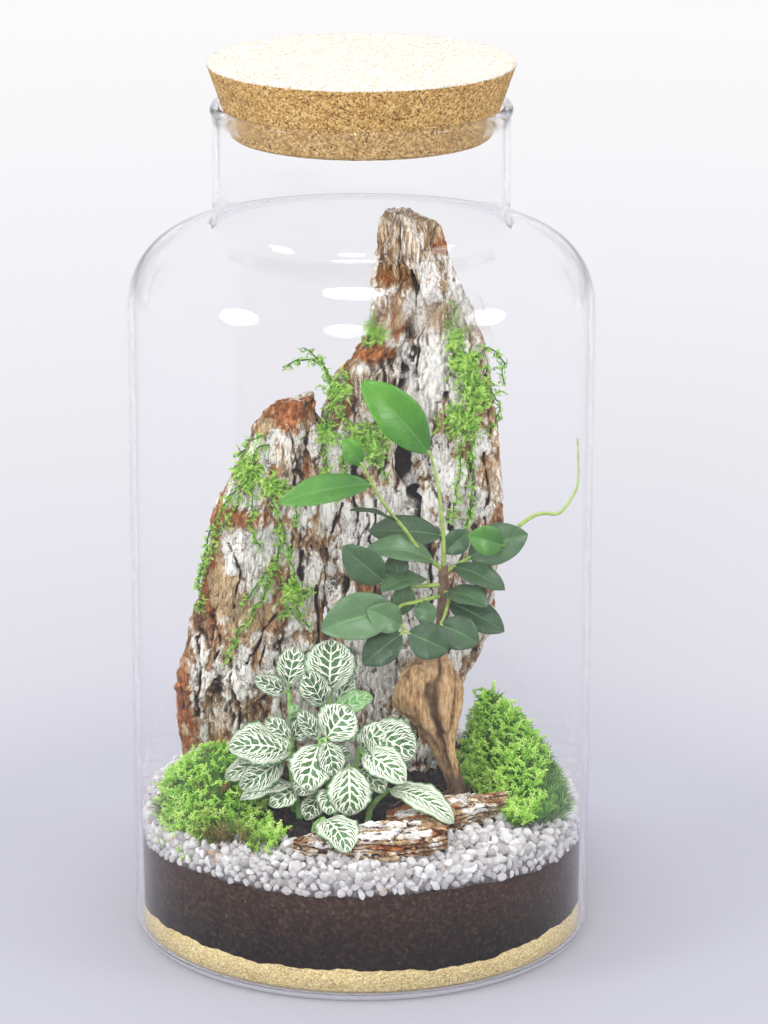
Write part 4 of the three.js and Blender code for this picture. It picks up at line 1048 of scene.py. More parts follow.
LEFT_RUST = [
    (-29, 217, 11, 7, 1.9), (-49, 169, 13, 5, 1.6), (-62, 150, 4, 22, 1.8), (-75, 92, 4, 20, 1.6),
    (-73, 77, 5, 6, 1), (-29, 199, 4, 8, 0.9), (-33, 208, 6, 4, 0.8), (-36, 190, 5, 5, 0.5),
    (-38, 148, 4, 8, 0.7), (-45, 126, 7, 6, 0.8), (-22, 192, 3, 9, 0.8),
]
LEFT_OCHRE = [
    (-55, 138, 8, 14, 1.5), (-39, 206, 4, 4, 1.4), (-47, 116, 8, 8, 0.7), (-73, 77, 3, 5, 0.7),
    (-38, 128, 9, 7, 0.7), (-20, 181, 3, 9, 0.9), (-60, 96, 6, 5, 0.6), (-48, 88, 6, 5, 0.6),
    (-34, 86, 8, 8, 0.5),
]

print("cracks placed by hand:", len(TALL_CRACKS) + len(LEFT_CRACKS))

# %% [markdown]
# On the skin, cells make plates and flakes that overlap like shingles, stretched noise makes furrows and
# fibres along the grain, and fine noise roughens it all. Besides the height, each point keeps marks for the
# finish: its plate, how deep it lies, and whether it faces the front.

# %% Relief of the bark
def along(grain, short, long):
    """Sizes long along the grain and short across it. Grain 2 is upright, and 0 is lying."""
    return tuple(long if axis == grain else short for axis in range(3))


def shingles(points, size, seed, grain):
    """Height of small tilted flakes, how near a point is to a gap, and the number of its flake."""
    near, second, name, way = patches(points, size, seed)
    tilt = way[..., grain] * (name * 7 % 1 - 0.15) + way[..., 0 if grain else 2] * (name * 13 % 1 - 0.5)
    return name - 0.5 + 1.1 * tilt, np.exp(-(((second - near) / 0.1) ** 2)), name


def bark_relief(points, grain, seed):
    """Relief of bark in millimetres, and the marks that its finish reads."""
    swirl = np.stack([cloud(points, 15, seed + i, 3) for i in range(3)], axis=-1)
    ragged = np.stack([cloud(points, 3, seed + 20 + i, 3) for i in range(3)], axis=-1)
    bent = points + 3.6 * swirl + 1.1 * ragged
    plate, plate_gap, plate_name = shingles(bent, along(grain, 8.5, 19), seed + 10, grain)
    flake, flake_gap, flake_name = shingles(bent, along(grain, 3.6, 7), seed + 13, grain)
    broken = 0.3 + 0.7 * smooth_step(cloud(points, 19, seed + 6, 2), -0.3, 0.25)
    furrow = np.exp(-((cloud(bent, along(grain, 8, 34), seed + 5, 4) / 0.045) ** 2)) * broken
    fibre = cloud(bent, along(grain, 1.2, 11), seed + 40, 2)
    fine = cloud(points, along(grain, 1.0, 1.6), seed + 50, 2)
    height = 1.35 * plate + 0.8 * flake * broken + 0.35 * fibre + 0.35 * fine - 1.3 * furrow
    height = height - 0.7 * plate_gap - 0.4 * flake_gap * broken
    # How deep a point lies in a furrow, a gap or between fibres: the finish darkens it as painted shade.
    deep = 0.6 * furrow + 0.4 * plate_gap + 0.28 * flake_gap * broken + 0.2 * smooth_step(-fibre, 0.35, 0.8)
    marks = {"plate": plate_name, "chip": flake_name, "deep": np.clip(deep, 0, 1)}
    marks["level"] = smooth_step(height, -1.5, 1.5)
    return height, marks


def bark_slab(slab, rows, columns, seed, cracks=(), ledges=(), top=None):
    """Dense body of a slab, with its marks."""
    grain = 2 if slab["axis"] == "z" else 0
    first, last = slab["rows"][0][0], slab["rows"][-1][0]
    place, angle = np.meshgrid(np.linspace(first, last, rows), even_angles(slab, columns), indexing="ij")
    skin = slab_skin(slab, angle, place)
    normal = grid_normals(skin)
    flat = skin.reshape(-1, 3)
    height, marks = bark_relief(flat, grain, seed)
    x = flat[:, 0] + 1.7 * cloud(flat, (5, 5, 9), seed + 60)
    x = x + 0.8 * cloud(flat, (1.4, 1.4, 4), seed + 62, 2)
    z = flat[:, 2] + 2.2 * cloud(flat, 7, seed + 61)
    gape = 0.55 + 1.1 * cloud(flat, (3.2, 3.2, 5), seed + 63, 2)
    front = smooth_step(-normal.reshape(-1, 3)[:, 1], 0.1, 0.5)
    for line, half, depth in cracks:
        away = near_line(x, z, line) / (half * np.clip(gape, 0.12, 1.2))
        height = height - front * depth * np.exp(-away * away)
        # A crack also raises the depth mark, which the finish paints near black as painted shade.
        marks["deep"] = np.maximum(marks["deep"], front * np.exp(-((away / 1.1) ** 4)))
    for line, half, lift in ledges:
        away = near_line(x, z, line) / half
        height = height + front * lift * np.exp(-(away**4))
    ends = np.minimum(place - first, last - place).ravel()
    height = height * smooth_step(ends, -2, 6 if grain == 0 else 2)
    dense = skin + normal * height.reshape(rows, columns, 1)
    if top is not None:
        rise = np.interp(dense[..., 0], *zip(*top)) * smooth_step(place, last - 14, last)
        splinter = cloud(flat * [1, 1, 0.02], 2.2, seed + 70, 2).reshape(rows, columns)
        dense[..., 2] += rise + 1.6 * splinter * smooth_step(place, last - 5, last)
    marks["front"] = front
    return dense, marks


def capped(dense, marks, steps=9, sink=1.2, seed=0):
    """Closes a slab's ends with rings that shrink to the middle, rough like broken wood."""
    lids = []
    for ring in (dense[0], dense[-1]):
        middle = ring.mean(axis=0)
        shares = np.linspace(0, 1, steps + 2)[1:-1]
        lid = ring[None] + (middle - ring)[None] * shares[:, None, None]
        off = middle - dense.mean(axis=(0, 1))
        axis = np.argmax(np.abs(off))
        lid[..., axis] += cloud(lid, 2.4, seed + 80, 3) * sink * np.sign(off[axis])
        lids.append(lid)
    rings = np.concatenate([lids[0][::-1], dense, lids[1]])
    points, faces = skinned(rings, lids[0][-1].mean(axis=0), lids[1][-1].mean(axis=0))
    spread = {}
    for label, values in marks.items():
        values = values.reshape(dense.shape[:2])
        rows = [np.repeat(values[:1], steps, axis=0), values, np.repeat(values[-1:], steps, axis=0)]
        spread[label] = np.pad(np.concatenate(rows).ravel(), 1, mode="edge")
    return points, faces, spread


test_height, test_marks = bark_relief(np.array([[20.0, 10.0, 150.0]]), 2, 101)
print("relief at a test point:", test_height.round(2), "mm, with marks for", *test_marks)

# %% [markdown]
# The finish of the bark reads the marks that the relief left. The outer flakes are chalky white, with a
# golden layer at their edges, torn edges are rusty, and fibrous places are striped. Cracks, furrows and the
# gaps between plates are darkened by how deep they lie, as painted shade, down to nearly black. Noise
# breaks up every border, streaks follow the grain, and the chalkiest places are worn smooth.

# %% Finish of the bark
def bark_finish(name, grain):
    """Material of bark whose grain runs along that axis."""
    finish = Finish(name, Roughness=0.92, Specular_IOR_Level=0.25)
    streak = finish.noise(along(grain, 0.8, 7), 6, 0.7, distortion=0.8)
    mottle = finish.noise(along(grain, 3.4, 6), 7, 0.72, distortion=0.6)
    speck = finish.noise(0.6, 4, 0.75)
    scale = finish.grain(along(grain, 1.5, 2.6))
    plate, chip, deep, level = finish.marks("plate", "chip", "deep", "level")
    frost, rust, ochre, fibrous = finish.marks("frost", "rust", "ochre", "fibrous")
    grain_tone = streak * 0.4 + mottle * 0.35 + speck * 0.25
    wood = finish.ramp(
        (grain_tone - 0.5) * 2.3 + 0.5 + (plate - 0.5) * 0.35 + (scale - 0.5) * 0.3,
        (0.06, 0.055, 0.024, 0.012), (0.28, 0.24, 0.105, 0.042), (0.5, 0.5, 0.285, 0.13),
        (0.8, 0.8, 0.61, 0.38),
    )
    rusty = finish.ramp(
        (grain_tone - 0.5) * 2.3 + 0.46 + (scale - 0.5) * 0.3,
        (0.15, 0.1, 0.024, 0.008), (0.45, 0.42, 0.125, 0.03), (0.8, 0.74, 0.36, 0.14),
    )
    golden = finish.ramp(
        (grain_tone - 0.5) * 2.4 + 0.48,
        (0.12, 0.26, 0.145, 0.065), (0.5, 0.62, 0.44, 0.23), (0.85, 0.88, 0.77, 0.58),
    )
    chalk = finish.ramp(
        (speck * 0.5 + streak * 0.5 - 0.5) * 2.4 + 0.5 + (scale - 0.5) * 0.12,
        (0, 0.48, 0.3, 0.16), (0.2, 0.8, 0.7, 0.56), (0.38, 0.98, 0.95, 0.88),
    )
    zone = finish.noise(along(grain, 10, 17), 3, 0.5, distortion=0.6)
    rough = (zone - 0.5) * 3.2 + (mottle - 0.5) * 2.2 + (streak - 0.5) * 1.2
    dust = (speck - 0.5) * 1.5 + (scale - 0.5) * 0.35
    colour = finish.blend((rust + rough * 0.5 + (chip - 0.5) * 0.5).step(0.34, 0.56), wood, rusty)
    colour = finish.blend((ochre + rough * 0.45 + dust * 0.3).step(0.38, 0.66), colour, golden)
    frosted = frost + rough * 0.9 + (plate - 0.5) * 0.5 + (level - 0.5) * 0.5
    frosted = frosted - rust * 0.9 - ochre * 0.6 - deep * 0.6
    colour = finish.blend((frosted + dust).step(-0.45, 0.0) * 0.7, colour, golden)
    colour = finish.blend((frosted + dust).step(-0.02, 0.4), colour, chalk)
    strand = finish.noise(along(grain, 0.9, 14), 4, 0.62, distortion=0.3)
    stripes = finish.ramp(
        (strand - 0.5) * 3.2 + 0.5 + (zone - 0.5) * 0.8,
        (0.05, 0.055, 0.026, 0.014), (0.27, 0.34, 0.19, 0.08), (0.5, 0.68, 0.48, 0.24),
        (0.72, 0.95, 0.91, 0.81),
    )
    colour = finish.blend((fibrous + rough * 0.35 - rust * 0.5).step(0.42, 0.75) * 0.85, colour, stripes)
    crack = abs(finish.noise(along(grain, 3.4, 15), 6, 0.66, distortion=1.4) - 0.5).step(0.026, 0.008)
    web = abs(finish.noise(along(grain, 2.2, 4.2), 5, 0.7, distortion=1.8) - 0.5).step(0.022, 0.004)
    where = finish.noise(9, 2).step(0.42, 0.6)
    worn = 1 - frost.step(1.5, 2.3) * 0.8
    colour = finish.blend((crack * 0.6).most(web * where * 0.5) * worn, colour, (0.13, 0.065, 0.036))
    # Painted shade: hollows darken by how deep they lie, mixed with real dark pits, and the deepest turn
    # nearly black.
    pits_and_hollow_shade = (speck - 0.5) * 1.6 + (mottle - 0.5) * 1.4 + deep * 1.1
    colour = finish.blend(pits_and_hollow_shade.step(0.4, 0.75) * 0.85 * worn, colour, (0.055, 0.03, 0.022))
    black = (deep + (speck - 0.5) * 0.6).step(0.62, 1.0) * 0.97
    colour = finish.blend(black, colour, (0.01, 0.006, 0.005))
    relief = streak * 0.45 + speck * 0.55 + mottle * 0.5 + scale * 0.35 - crack * 0.5
    finish.set(Base_Color=colour, Normal=finish.bump(relief, 1.0, 0.75))
    return finish


upright_bark = bark_finish("pine_bark_upright", 2)
lying_bark = bark_finish("pine_bark_lying", 0)
print("nodes in the bark:", len(upright_bark.tree.nodes))

# %% [markdown]
# The upright slabs have a few hundred rows and columns of points, closer in front than behind. The tall one
# ends in a broken top, whose height and splinters are added last.

# %% Upright slabs
def stain_marks(marks, dense, frost, rust, ochre, fibrous, base, seed):
    """Adds the marks of the stains. Away from the front they are scattered by noise."""
    flat = dense.reshape(-1, 3)
    x, z, front = flat[:, 0], flat[:, 2], marks["front"]
    loose = cloud(flat, 17, seed + 90, 2)
    other = cloud(flat, 13, seed + 95, 2)
    marks["frost"] = front * (stains(x, z, frost) + base) + (1 - front) * (0.15 + 0.9 * loose)
    marks["rust"] = front * stains(x, z, rust) + (1 - front) * np.clip(0.1 + 1.1 * other, 0, 1)
    marks["fibrous"] = front * stains(x, z, fibrous)
    marks["ochre"] = front * stains(x, z, ochre) + (1 - front) * np.clip(-other - 0.1, 0, 1)


TALL_TOP = [(0, 1.0), (8, 2.0), (12, 4.6), (16, 6.6), (22, 5.4), (27, 5.6), (31, 4.6), (40, 3)]  # x, rise
tall_skin, tall_marks = bark_slab(TALL, 300, 292, 101, TALL_CRACKS, TALL_LEDGES, TALL_TOP)
stain_marks(tall_marks, tall_skin, TALL_FROST, TALL_RUST, TALL_OCHRE, TALL_FIBROUS, 0.5, 101)
tall_points, tall_faces, tall_marks = capped(tall_skin, tall_marks, seed=101)
make_piece("bark_slab_tall", tall_points, tall_faces, upright_bark, "bark", ["bark_tall"], marks=tall_marks)

left_skin, left_marks = bark_slab(LEFT, 230, 260, 202, LEFT_CRACKS, LEFT_LEDGES)
stain_marks(left_marks, left_skin, LEFT_FROST, LEFT_RUST, LEFT_OCHRE, LEFT_FIBROUS, 0.33, 202)
left_points, left_faces, left_marks = capped(left_skin, left_marks, seed=202)
make_piece("bark_slab_left", left_points, left_faces, upright_bark, "bark", ["bark_left"], marks=left_marks)

# %% [markdown]
# The lying flakes are the same bark seen from its edge: thin sheets that have come apart, so level grooves
# are cut between them.

# %% Lying flakes
FRONT_LEFT_FROST = [
    (0, 67, 14, 3, 0.7), (20, 69, 12, 3, 0.7), (28, 63, 4, 3, 0.5), (-14, 62, 8, 2, 0.8),
    (6, 57, 12, 2, 0.5),
]
FRONT_LEFT_RUST = [(14, 61, 12, 3, 0.8), (-6, 59, 9, 3, 0.7), (30, 66, 4, 4, 0.7)]
FRONT_LEFT_OCHRE = [(-2, 56.5, 16, 2.0, 1.3), (12, 64, 10, 1.5, 0.7), (-20, 59, 5, 2, 0.8)]
FRONT_RIGHT_FROST = [(27, 68, 9, 3.5, 1.3), (48, 66, 7, 3, 0.6)]
FRONT_RIGHT_RUST = [(40, 62, 12, 4, 0.5)]
FRONT_RIGHT_OCHRE = [(20, 61, 6, 2, 0.6)]


def lying_flake(name, slab, node, rows, columns, seed, frost, rust, ochre, fibrous):
    """Dense body of a flake, with grooves cut between the sheets on its front edge."""
    dense, marks = bark_slab(slab, rows, columns, seed)
    flat = dense.reshape(-1, 3)
    sheets = flat[:, 2] / 2.1 + 0.8 * cloud(flat, (22, 22, 9), seed + 71)
    edge = np.abs(flat[:, 2] - flat[:, 2].mean()) < 7
    cut = smooth_step(np.abs(sheets % 1 - 0.5), 0.5, 0.32)
    wall = marks["front"] * edge
    middle = dense.mean(axis=(0, 1))
    inward = (middle - flat) * [0, 1, 0]
    inward /= np.maximum(np.abs(inward).max(axis=1, keepdims=True), 1e-6)
    deep_cut = (1 - cut) * wall * (1.2 + 1.0 * cloud(flat, 9, seed + 72))
    dense = (flat + inward * deep_cut[:, None]).reshape(dense.shape)
    # The grooves between sheets also raise the depth mark, which the finish paints dark as painted shade.
    marks["deep"] = np.clip(marks["deep"] * 0.8 + 0.8 * (1 - cut) * wall, 0, 1)
    stain_marks(marks, dense, frost, rust, ochre, fibrous, 0.15, seed)
    points, faces, marks = capped(dense, marks, steps=4, sink=0.8, seed=seed)
    make_piece(name, points, faces, lying_bark, "bark", [node], marks=marks)


lying_flake(
    "bark_flake_left", FRONT_LEFT, "bark_front_left", 150, 120, 303, FRONT_LEFT_FROST, FRONT_LEFT_RUST,
    FRONT_LEFT_OCHRE, [(4, 59.5, 34, 3.4, 1.1)],
)
lying_flake(
    "bark_flake_right", FRONT_RIGHT, "bark_front_right", 120, 110, 404, FRONT_RIGHT_FROST, FRONT_RIGHT_RUST,
    FRONT_RIGHT_OCHRE, [(40, 61, 30, 3.2, 1.1)],
)

# %% [markdown]
# Leaves and stems are thin closed bodies. A leaf is a grid from foot to tip and from edge to edge. Its
# width follows a curve, its sides lift from the midrib, and its length arches. A stem is a tube along a
# smooth line through a few points, and the stalk of each leaf starts inside it.

# %% Tubes and blades
def smooth_line(knots, count):
    """Points at equal steps along a smooth line through the knots."""
    knots = np.asarray(knots, float)
    padded = np.concatenate([[2 * knots[0] - knots[1]], knots, [2 * knots[-1] - knots[-2]]])
    t = np.linspace(0, 1, 12, endpoint=False)[:, None]
    pieces = []
    for a, b, c, d in zip(padded, padded[1:], padded[2:], padded[3:]):
        square, cube = 2 * a - 5 * b + 4 * c - d, 3 * b - a - 3 * c + d
        pieces.append(0.5 * (2 * b + (c - a) * t + square * t**2 + cube * t**3))
    line = np.concatenate([*pieces, knots[-1:]])
    walked = np.concatenate([[0], np.cumsum(np.linalg.norm(np.diff(line, axis=0), axis=1))])
    at = np.linspace(0, walked[-1], count)
    return np.stack([np.interp(at, walked, line[:, i]) for i in range(3)], axis=-1)


def tube(knots, radii, sides=8, count=None):
    """Closed tube along a smooth line. Its radii are spread evenly from start to end."""
    count = count or max(4, 4 * len(knots))
    line = smooth_line(knots, count)
    way = unit(np.gradient(line, axis=0))
    side = unit(np.cross(way[0], (0.3, 0.8, 0.52)))
    radius = np.interp(np.linspace(0, 1, count), np.linspace(0, 1, len(radii)), radii)
    turn = np.arange(sides) / sides * 2 * np.pi
    rings = []
    for point, forward, size in zip(line, way, radius):
        side = unit(side - forward * np.dot(side, forward))
        other = np.cross(forward, side)
        rings.append(point + size * (np.cos(turn)[:, None] * side + np.sin(turn)[:, None] * other))
    return skinned(np.array(rings), line[0], line[-1])


BLADE = 0.34  # thickness of a leaf
VEIN_SPACING = 3.1


def blade(row, outline, fold, arch, ripple=0.0, rows=24, columns=11, droop=0.0, curl=0.0):
    """Leaf from its row, with the place on the leaf at each of its points."""
    foot, tip, width, facing = np.array(row[:3]), np.array(row[3:6]), row[6], np.array(row[7:10])
    length = np.linalg.norm(tip - foot)
    way = (tip - foot) / length
    up = unit(facing - way * np.dot(facing, way))
    across = np.cross(up, way)
    u = np.linspace(0, 1, rows)[:, None]
    v = np.concatenate([[-1, -0.95], np.linspace(-0.86, 0.86, columns), [0.95, 1]])[None]
    half = np.maximum(width / 2 * outline(u), 0.2)
    rise = arch * length * 4 * u * (1 - u) - droop * length * u**3
    lift = fold * half * (np.sqrt(v * v + 0.01) - 0.1) - curl * half * v**4
    wave = ripple * np.abs(v) ** 1.6 * np.sin(u * 15 + np.sign(v) * 1.3 + length) * np.minimum(1, half / 3)
    groove = -0.12 * np.exp(-((v / 0.06) ** 2))
    height = (rise + lift + wave + groove)[..., None]
    upper = foot + way * (u * length)[..., None] + across * (v * half)[..., None] + up * height
    keel = 0.5 * np.exp(-((v / 0.07) ** 2)) * (1 - u) ** 0.7
    under = upper - up * (BLADE * (1 - 0.7 * np.abs(v) ** 3) + keel)[..., None]
    rings = np.concatenate([upper[:, ::-1], under], axis=1)
    points, faces = skinned(rings, rings[0].mean(axis=0), rings[-1].mean(axis=0))
    u2, v2 = np.broadcast_arrays(u, v)
    place = {"leaf_u": u2, "leaf_v": v2, "leaf_x": v2 * half, "leaf_y": u2 * length}
    place["fan"] = u2 * 0 + round(length / VEIN_SPACING)
    sides = {label: np.concatenate([grid[:, ::-1], grid], axis=1) for label, grid in place.items()}
    return points, faces, {label: with_ends(grid) for label, grid in sides.items()}


def stalk(row, stem_knots, radius):
    """Stalk from inside the stem to the foot of the blade."""
    foot, tip = np.array(row[:3], float), np.array(row[3:6], float)
    way = unit(tip - foot)
    line = smooth_line(stem_knots, 60)
    start = line[np.argmin(np.linalg.norm(line - (foot - way * 2), axis=1))]
    straight_back = foot - way * 0.4 * np.linalg.norm(foot - start)
    halfway = (start + foot) / 2
    middle = halfway + (straight_back - halfway) * 0.5
    return tube([start, middle, foot + way * 1.2], [radius * 1.15, radius, radius * 0.8], 7, 9)


def plant(shoots, outline, fold, arch, stem_radii, stalk_radius, **leaf_settings):
    """Each shoot of a plant with its leaves, as (name, points, faces, marks)."""
    made = []
    number = 0
    for name, (stem_knots, leaves) in shoots.items():
        shapes, marks = [], []

        def add(points, faces, place=None, tone=0.0, kind=0.0, young=0.0):
            shapes.append((points, faces))
            blank = np.zeros(len(points))
            place = place or {label: blank for label in ("leaf_u", "leaf_v", "leaf_x", "leaf_y", "fan")}
            place = {**place, "tone": blank + tone, "green_stem": blank + kind, "young": blank + young}
            marks.append(place)

        add(*tube(stem_knots, stem_radii, 10, 6 * len(stem_knots)), kind=1.0)
        for row in leaves:
            tone = lattice(np.array([[number, 3, 5]]), 9)[0]
            young = row[10] if len(row) > 10 else 0.0
            add(*stalk(row, stem_knots, stalk_radius), kind=1.0, young=young)
            bent = 0.6 + 0.9 * tone
            add(*blade(row, outline, fold * bent, arch * bent, **leaf_settings), tone=tone, young=young)
            number += 1
        points, faces = several(shapes)
        marks = {label: np.concatenate([m[label] for m in marks]) for label in marks[0]}
        made.append((name, points, faces, marks))
    return made


print("points of a test tube:", len(tube([(0, 0, 0), (0, 0, 9)], [1, 1])[0]))

# %% [markdown]
# The fig is a young ginseng fig. Its swollen trunk stands on its narrow end, with a deep groove and fibres
# down its side. Like the slabs, it is a stack of sections, here round. A row gives a height, the left and
# right side, the middle depth and the thickness.

# %% Fig trunk
TRUNK_ROWS = [
    [52, 35, 44, -17, 9], [61, 35, 42.5, -17, 7.5], [70, 33, 40, -17.5, 8], [79, 29, 38.5, -18, 10],
    [89, 23, 38.5, -18, 14], [99, 13.5, 39, -18, 18], [108, 13.5, 39, -18, 18], [116, 18, 36.5, -18, 14],
    [121, 25, 35, -18, 9], [126, 29, 34.6, -18, 5.4], [142, 30.5, 35.3, -17.5, 4.6],
    [158, 31.2, 34.8, -17, 3.4],
]
TRUNK_CLEFT = [(28, 110), (30, 98), (32, 86), (35, 74), (37, 60)]


def trunk_body():
    """Trunk from its rows, with flutes, fibres, wrinkles and a cleft, and its marks."""
    rows, columns = 190, 96
    table = np.array(TRUNK_ROWS, float)
    knots = smooth_line(np.stack([table[:, 1], table[:, 2], table[:, 0]], axis=-1), 400)
    depths = smooth_line(np.stack([table[:, 3], table[:, 4], table[:, 0]], axis=-1), 400)
    turn = np.arange(columns) / columns * 2 * np.pi
    z, angle = np.meshgrid(np.linspace(52, 158, rows), turn, indexing="ij")
    left, right = np.interp(z, knots[:, 2], knots[:, 0]), np.interp(z, knots[:, 2], knots[:, 1])
    middle, thick = np.interp(z, depths[:, 2], depths[:, 0]), np.interp(z, depths[:, 2], depths[:, 1])
    swollen = smooth_step(z, 64, 78) * (1 - smooth_step(z, 119, 126))
    flute = 1 + swollen * (0.1 * np.sin(3 * angle + z / 14) + 0.05 * np.sin(7 * angle - z / 9))
    x = (left + right) / 2 + (right - left) / 2 * flute * np.cos(angle)
    y = middle + thick / 2 * flute * np.sin(angle)
    skin = np.stack([x, y, z], axis=-1)
    normal = grid_normals(skin)
    fibre = cloud(skin, (1.6, 1.6, 16), 501, 3)
    vein = np.abs(cloud(skin, (5, 5, 26), 502, 2))
    wrinkle = cloud(skin, (6, 6, 1.6), 503, 2)
    lump = 1.3 * cloud(skin, (7, 7, 12), 504, 2)
    front = smooth_step(-normal[..., 1], 0.0, 0.5)
    wander = 1.2 * cloud(skin, (9, 9, 6), 505, 2)
    from_cleft = near_line(x + wander, z, TRUNK_CLEFT) / (1.7 + 0.8 * wander)
    cleft = front * np.exp(-from_cleft * from_cleft)
    groove = np.exp(-((vein / 0.09) ** 2))
    height = swollen * (0.8 * fibre - 1.2 * groove + 0.25 * wrinkle - 3.0 * cleft + lump)
    height += (1 - swollen) * 0.22 * (fibre + wrinkle * 0.6)
    skin = skin + normal * height[..., None]
    # How deep a point lies in a groove, the cleft or between fibres: the finish darkens it as painted shade.
    deep = swollen * (np.exp(-((vein / 0.13) ** 2)) * 0.8 + cleft) + 0.5 * smooth_step(-fibre, 0.3, 0.8)
    points, faces = skinned(skin, skin[0].mean(axis=0), skin[-1].mean(axis=0))
    marks = {"deep": np.clip(deep, 0, 1), "swollen": swollen, "fibre": fibre}
    return points, faces, {label: with_ends(grid) for label, grid in marks.items()}


trunk_points, trunk_faces, trunk_marks = trunk_body()
print("points of the trunk:", len(trunk_points))

# %% [markdown]
# The trunk is pale and fibrous where it is swollen, and darker on the thin twig above. Its grooves, cleft
# and fibre valleys are darkened by how deep they lie, as painted shade.
# Fourteen thin roots run from its foot into the soil, in the same piece.

# %% Finish and roots of the trunk
trunk = Finish("fig_trunk_bark", Roughness=0.85, Specular_IOR_Level=0.25)
trunk_streak = trunk.noise((0.9, 0.9, 8), 4, 0.6)
trunk_spot = trunk.noise(2.2, 4)
trunk_colour = trunk.ramp(
    trunk_streak * 0.6 + trunk_spot * 0.4 + trunk.mark("fibre") * 0.12,
    (0.3, 0.15, 0.08, 0.036), (0.44, 0.4, 0.235, 0.105), (0.58, 0.6, 0.41, 0.215),
    (0.76, 0.8, 0.64, 0.42),
)
twig = trunk.ramp(trunk_spot, (0.3, 0.1, 0.06, 0.04), (0.7, 0.24, 0.16, 0.1))
trunk_colour = trunk.blend(trunk.mark("swollen").step(0.1, 0.6), twig, trunk_colour)
# Painted shade: deep places darken towards brown black.
trunk_colour = trunk.blend(trunk.mark("deep") * 0.85, trunk_colour, (0.035, 0.017, 0.01))
trunk.set(Base_Color=trunk_colour, Normal=trunk.bump(trunk_streak + trunk_spot * 0.4, 0.7, 0.7))

root_draw = np.random.default_rng(55)
root_shapes = [(trunk_points, trunk_faces)]
for _ in range(14):
    turn = root_draw.uniform(0, 2 * np.pi)
    out = np.array([math.cos(turn), math.sin(turn), 0])
    start = np.array([38.5, -17, root_draw.uniform(64, 76)]) + out * (2.4, 2.4, 0)
    knee = start + out * root_draw.uniform(1.5, 3.5) - [0, 0, root_draw.uniform(5, 8)]
    end = knee + out * root_draw.uniform(1, 5) - [0, 0, root_draw.uniform(5, 9)]
    end[2] = max(end[2], 58)
    root_shapes.append(tube([start, knee, end], [0.35, 0.28, 0.15], 5, 9))
root_points, root_faces = several(root_shapes)
root_extra = len(root_points) - len(trunk_points)
# The roots carry a fixed depth mark of 0.6, which darkens them by about half.
for label, values in trunk_marks.items():
    trunk_marks[label] = np.append(values, np.full(root_extra, 0.6 if label == "deep" else 0.3))
make_piece("fig_trunk_swollen", root_points, root_faces, trunk, "trunk", ["fig_trunk"], marks=trunk_marks)

# %% [markdown]
# Thin brown rootlets lie on the soil round the trunk and between the plants.

# %% Rootlets on the soil
fibre_shapes = []
for fibre_number in range(70):
    spread = 9 if fibre_number % 2 else 34
    foot = root_draw.normal(size=2) * spread * 0.6 + (38, -22)
    if fibre_number % 2 == 0:
        foot = root_draw.normal(size=2) * (24, 14) + (0, -48)
    turn, length = root_draw.uniform(0, 2 * np.pi), root_draw.uniform(4, 11)
    path = foot + np.outer((-0.5, 0, 0.5), (math.cos(turn), math.sin(turn))) * length
    path += root_draw.normal(size=(3, 2)) * 0.8
    if np.hypot(*path.T).max() > 69:
        continue
    height = mound(np.hypot(*path.T), np.arctan2(path[:, 1], path[:, 0]))
    height = height + soil_lumps(np.column_stack([path, height])) + (0.1, root_draw.uniform(0.5, 1.8), 0.1)
    fibre_shapes.append(tube(np.column_stack([path, height]), [0.12, 0.2, 0.1], 5, 12))
rootlet = Finish("brown_rootlets", Roughness=0.9)
fibre_colour = rootlet.ramp(rootlet.noise(3, 3), (0.3, 0.1, 0.055, 0.03), (0.7, 0.42, 0.27, 0.15))
rootlet.set(Base_Color=fibre_colour)
make_piece("soil_rootlets", *several(fibre_shapes), rootlet, "soil", ["soil_layer"])
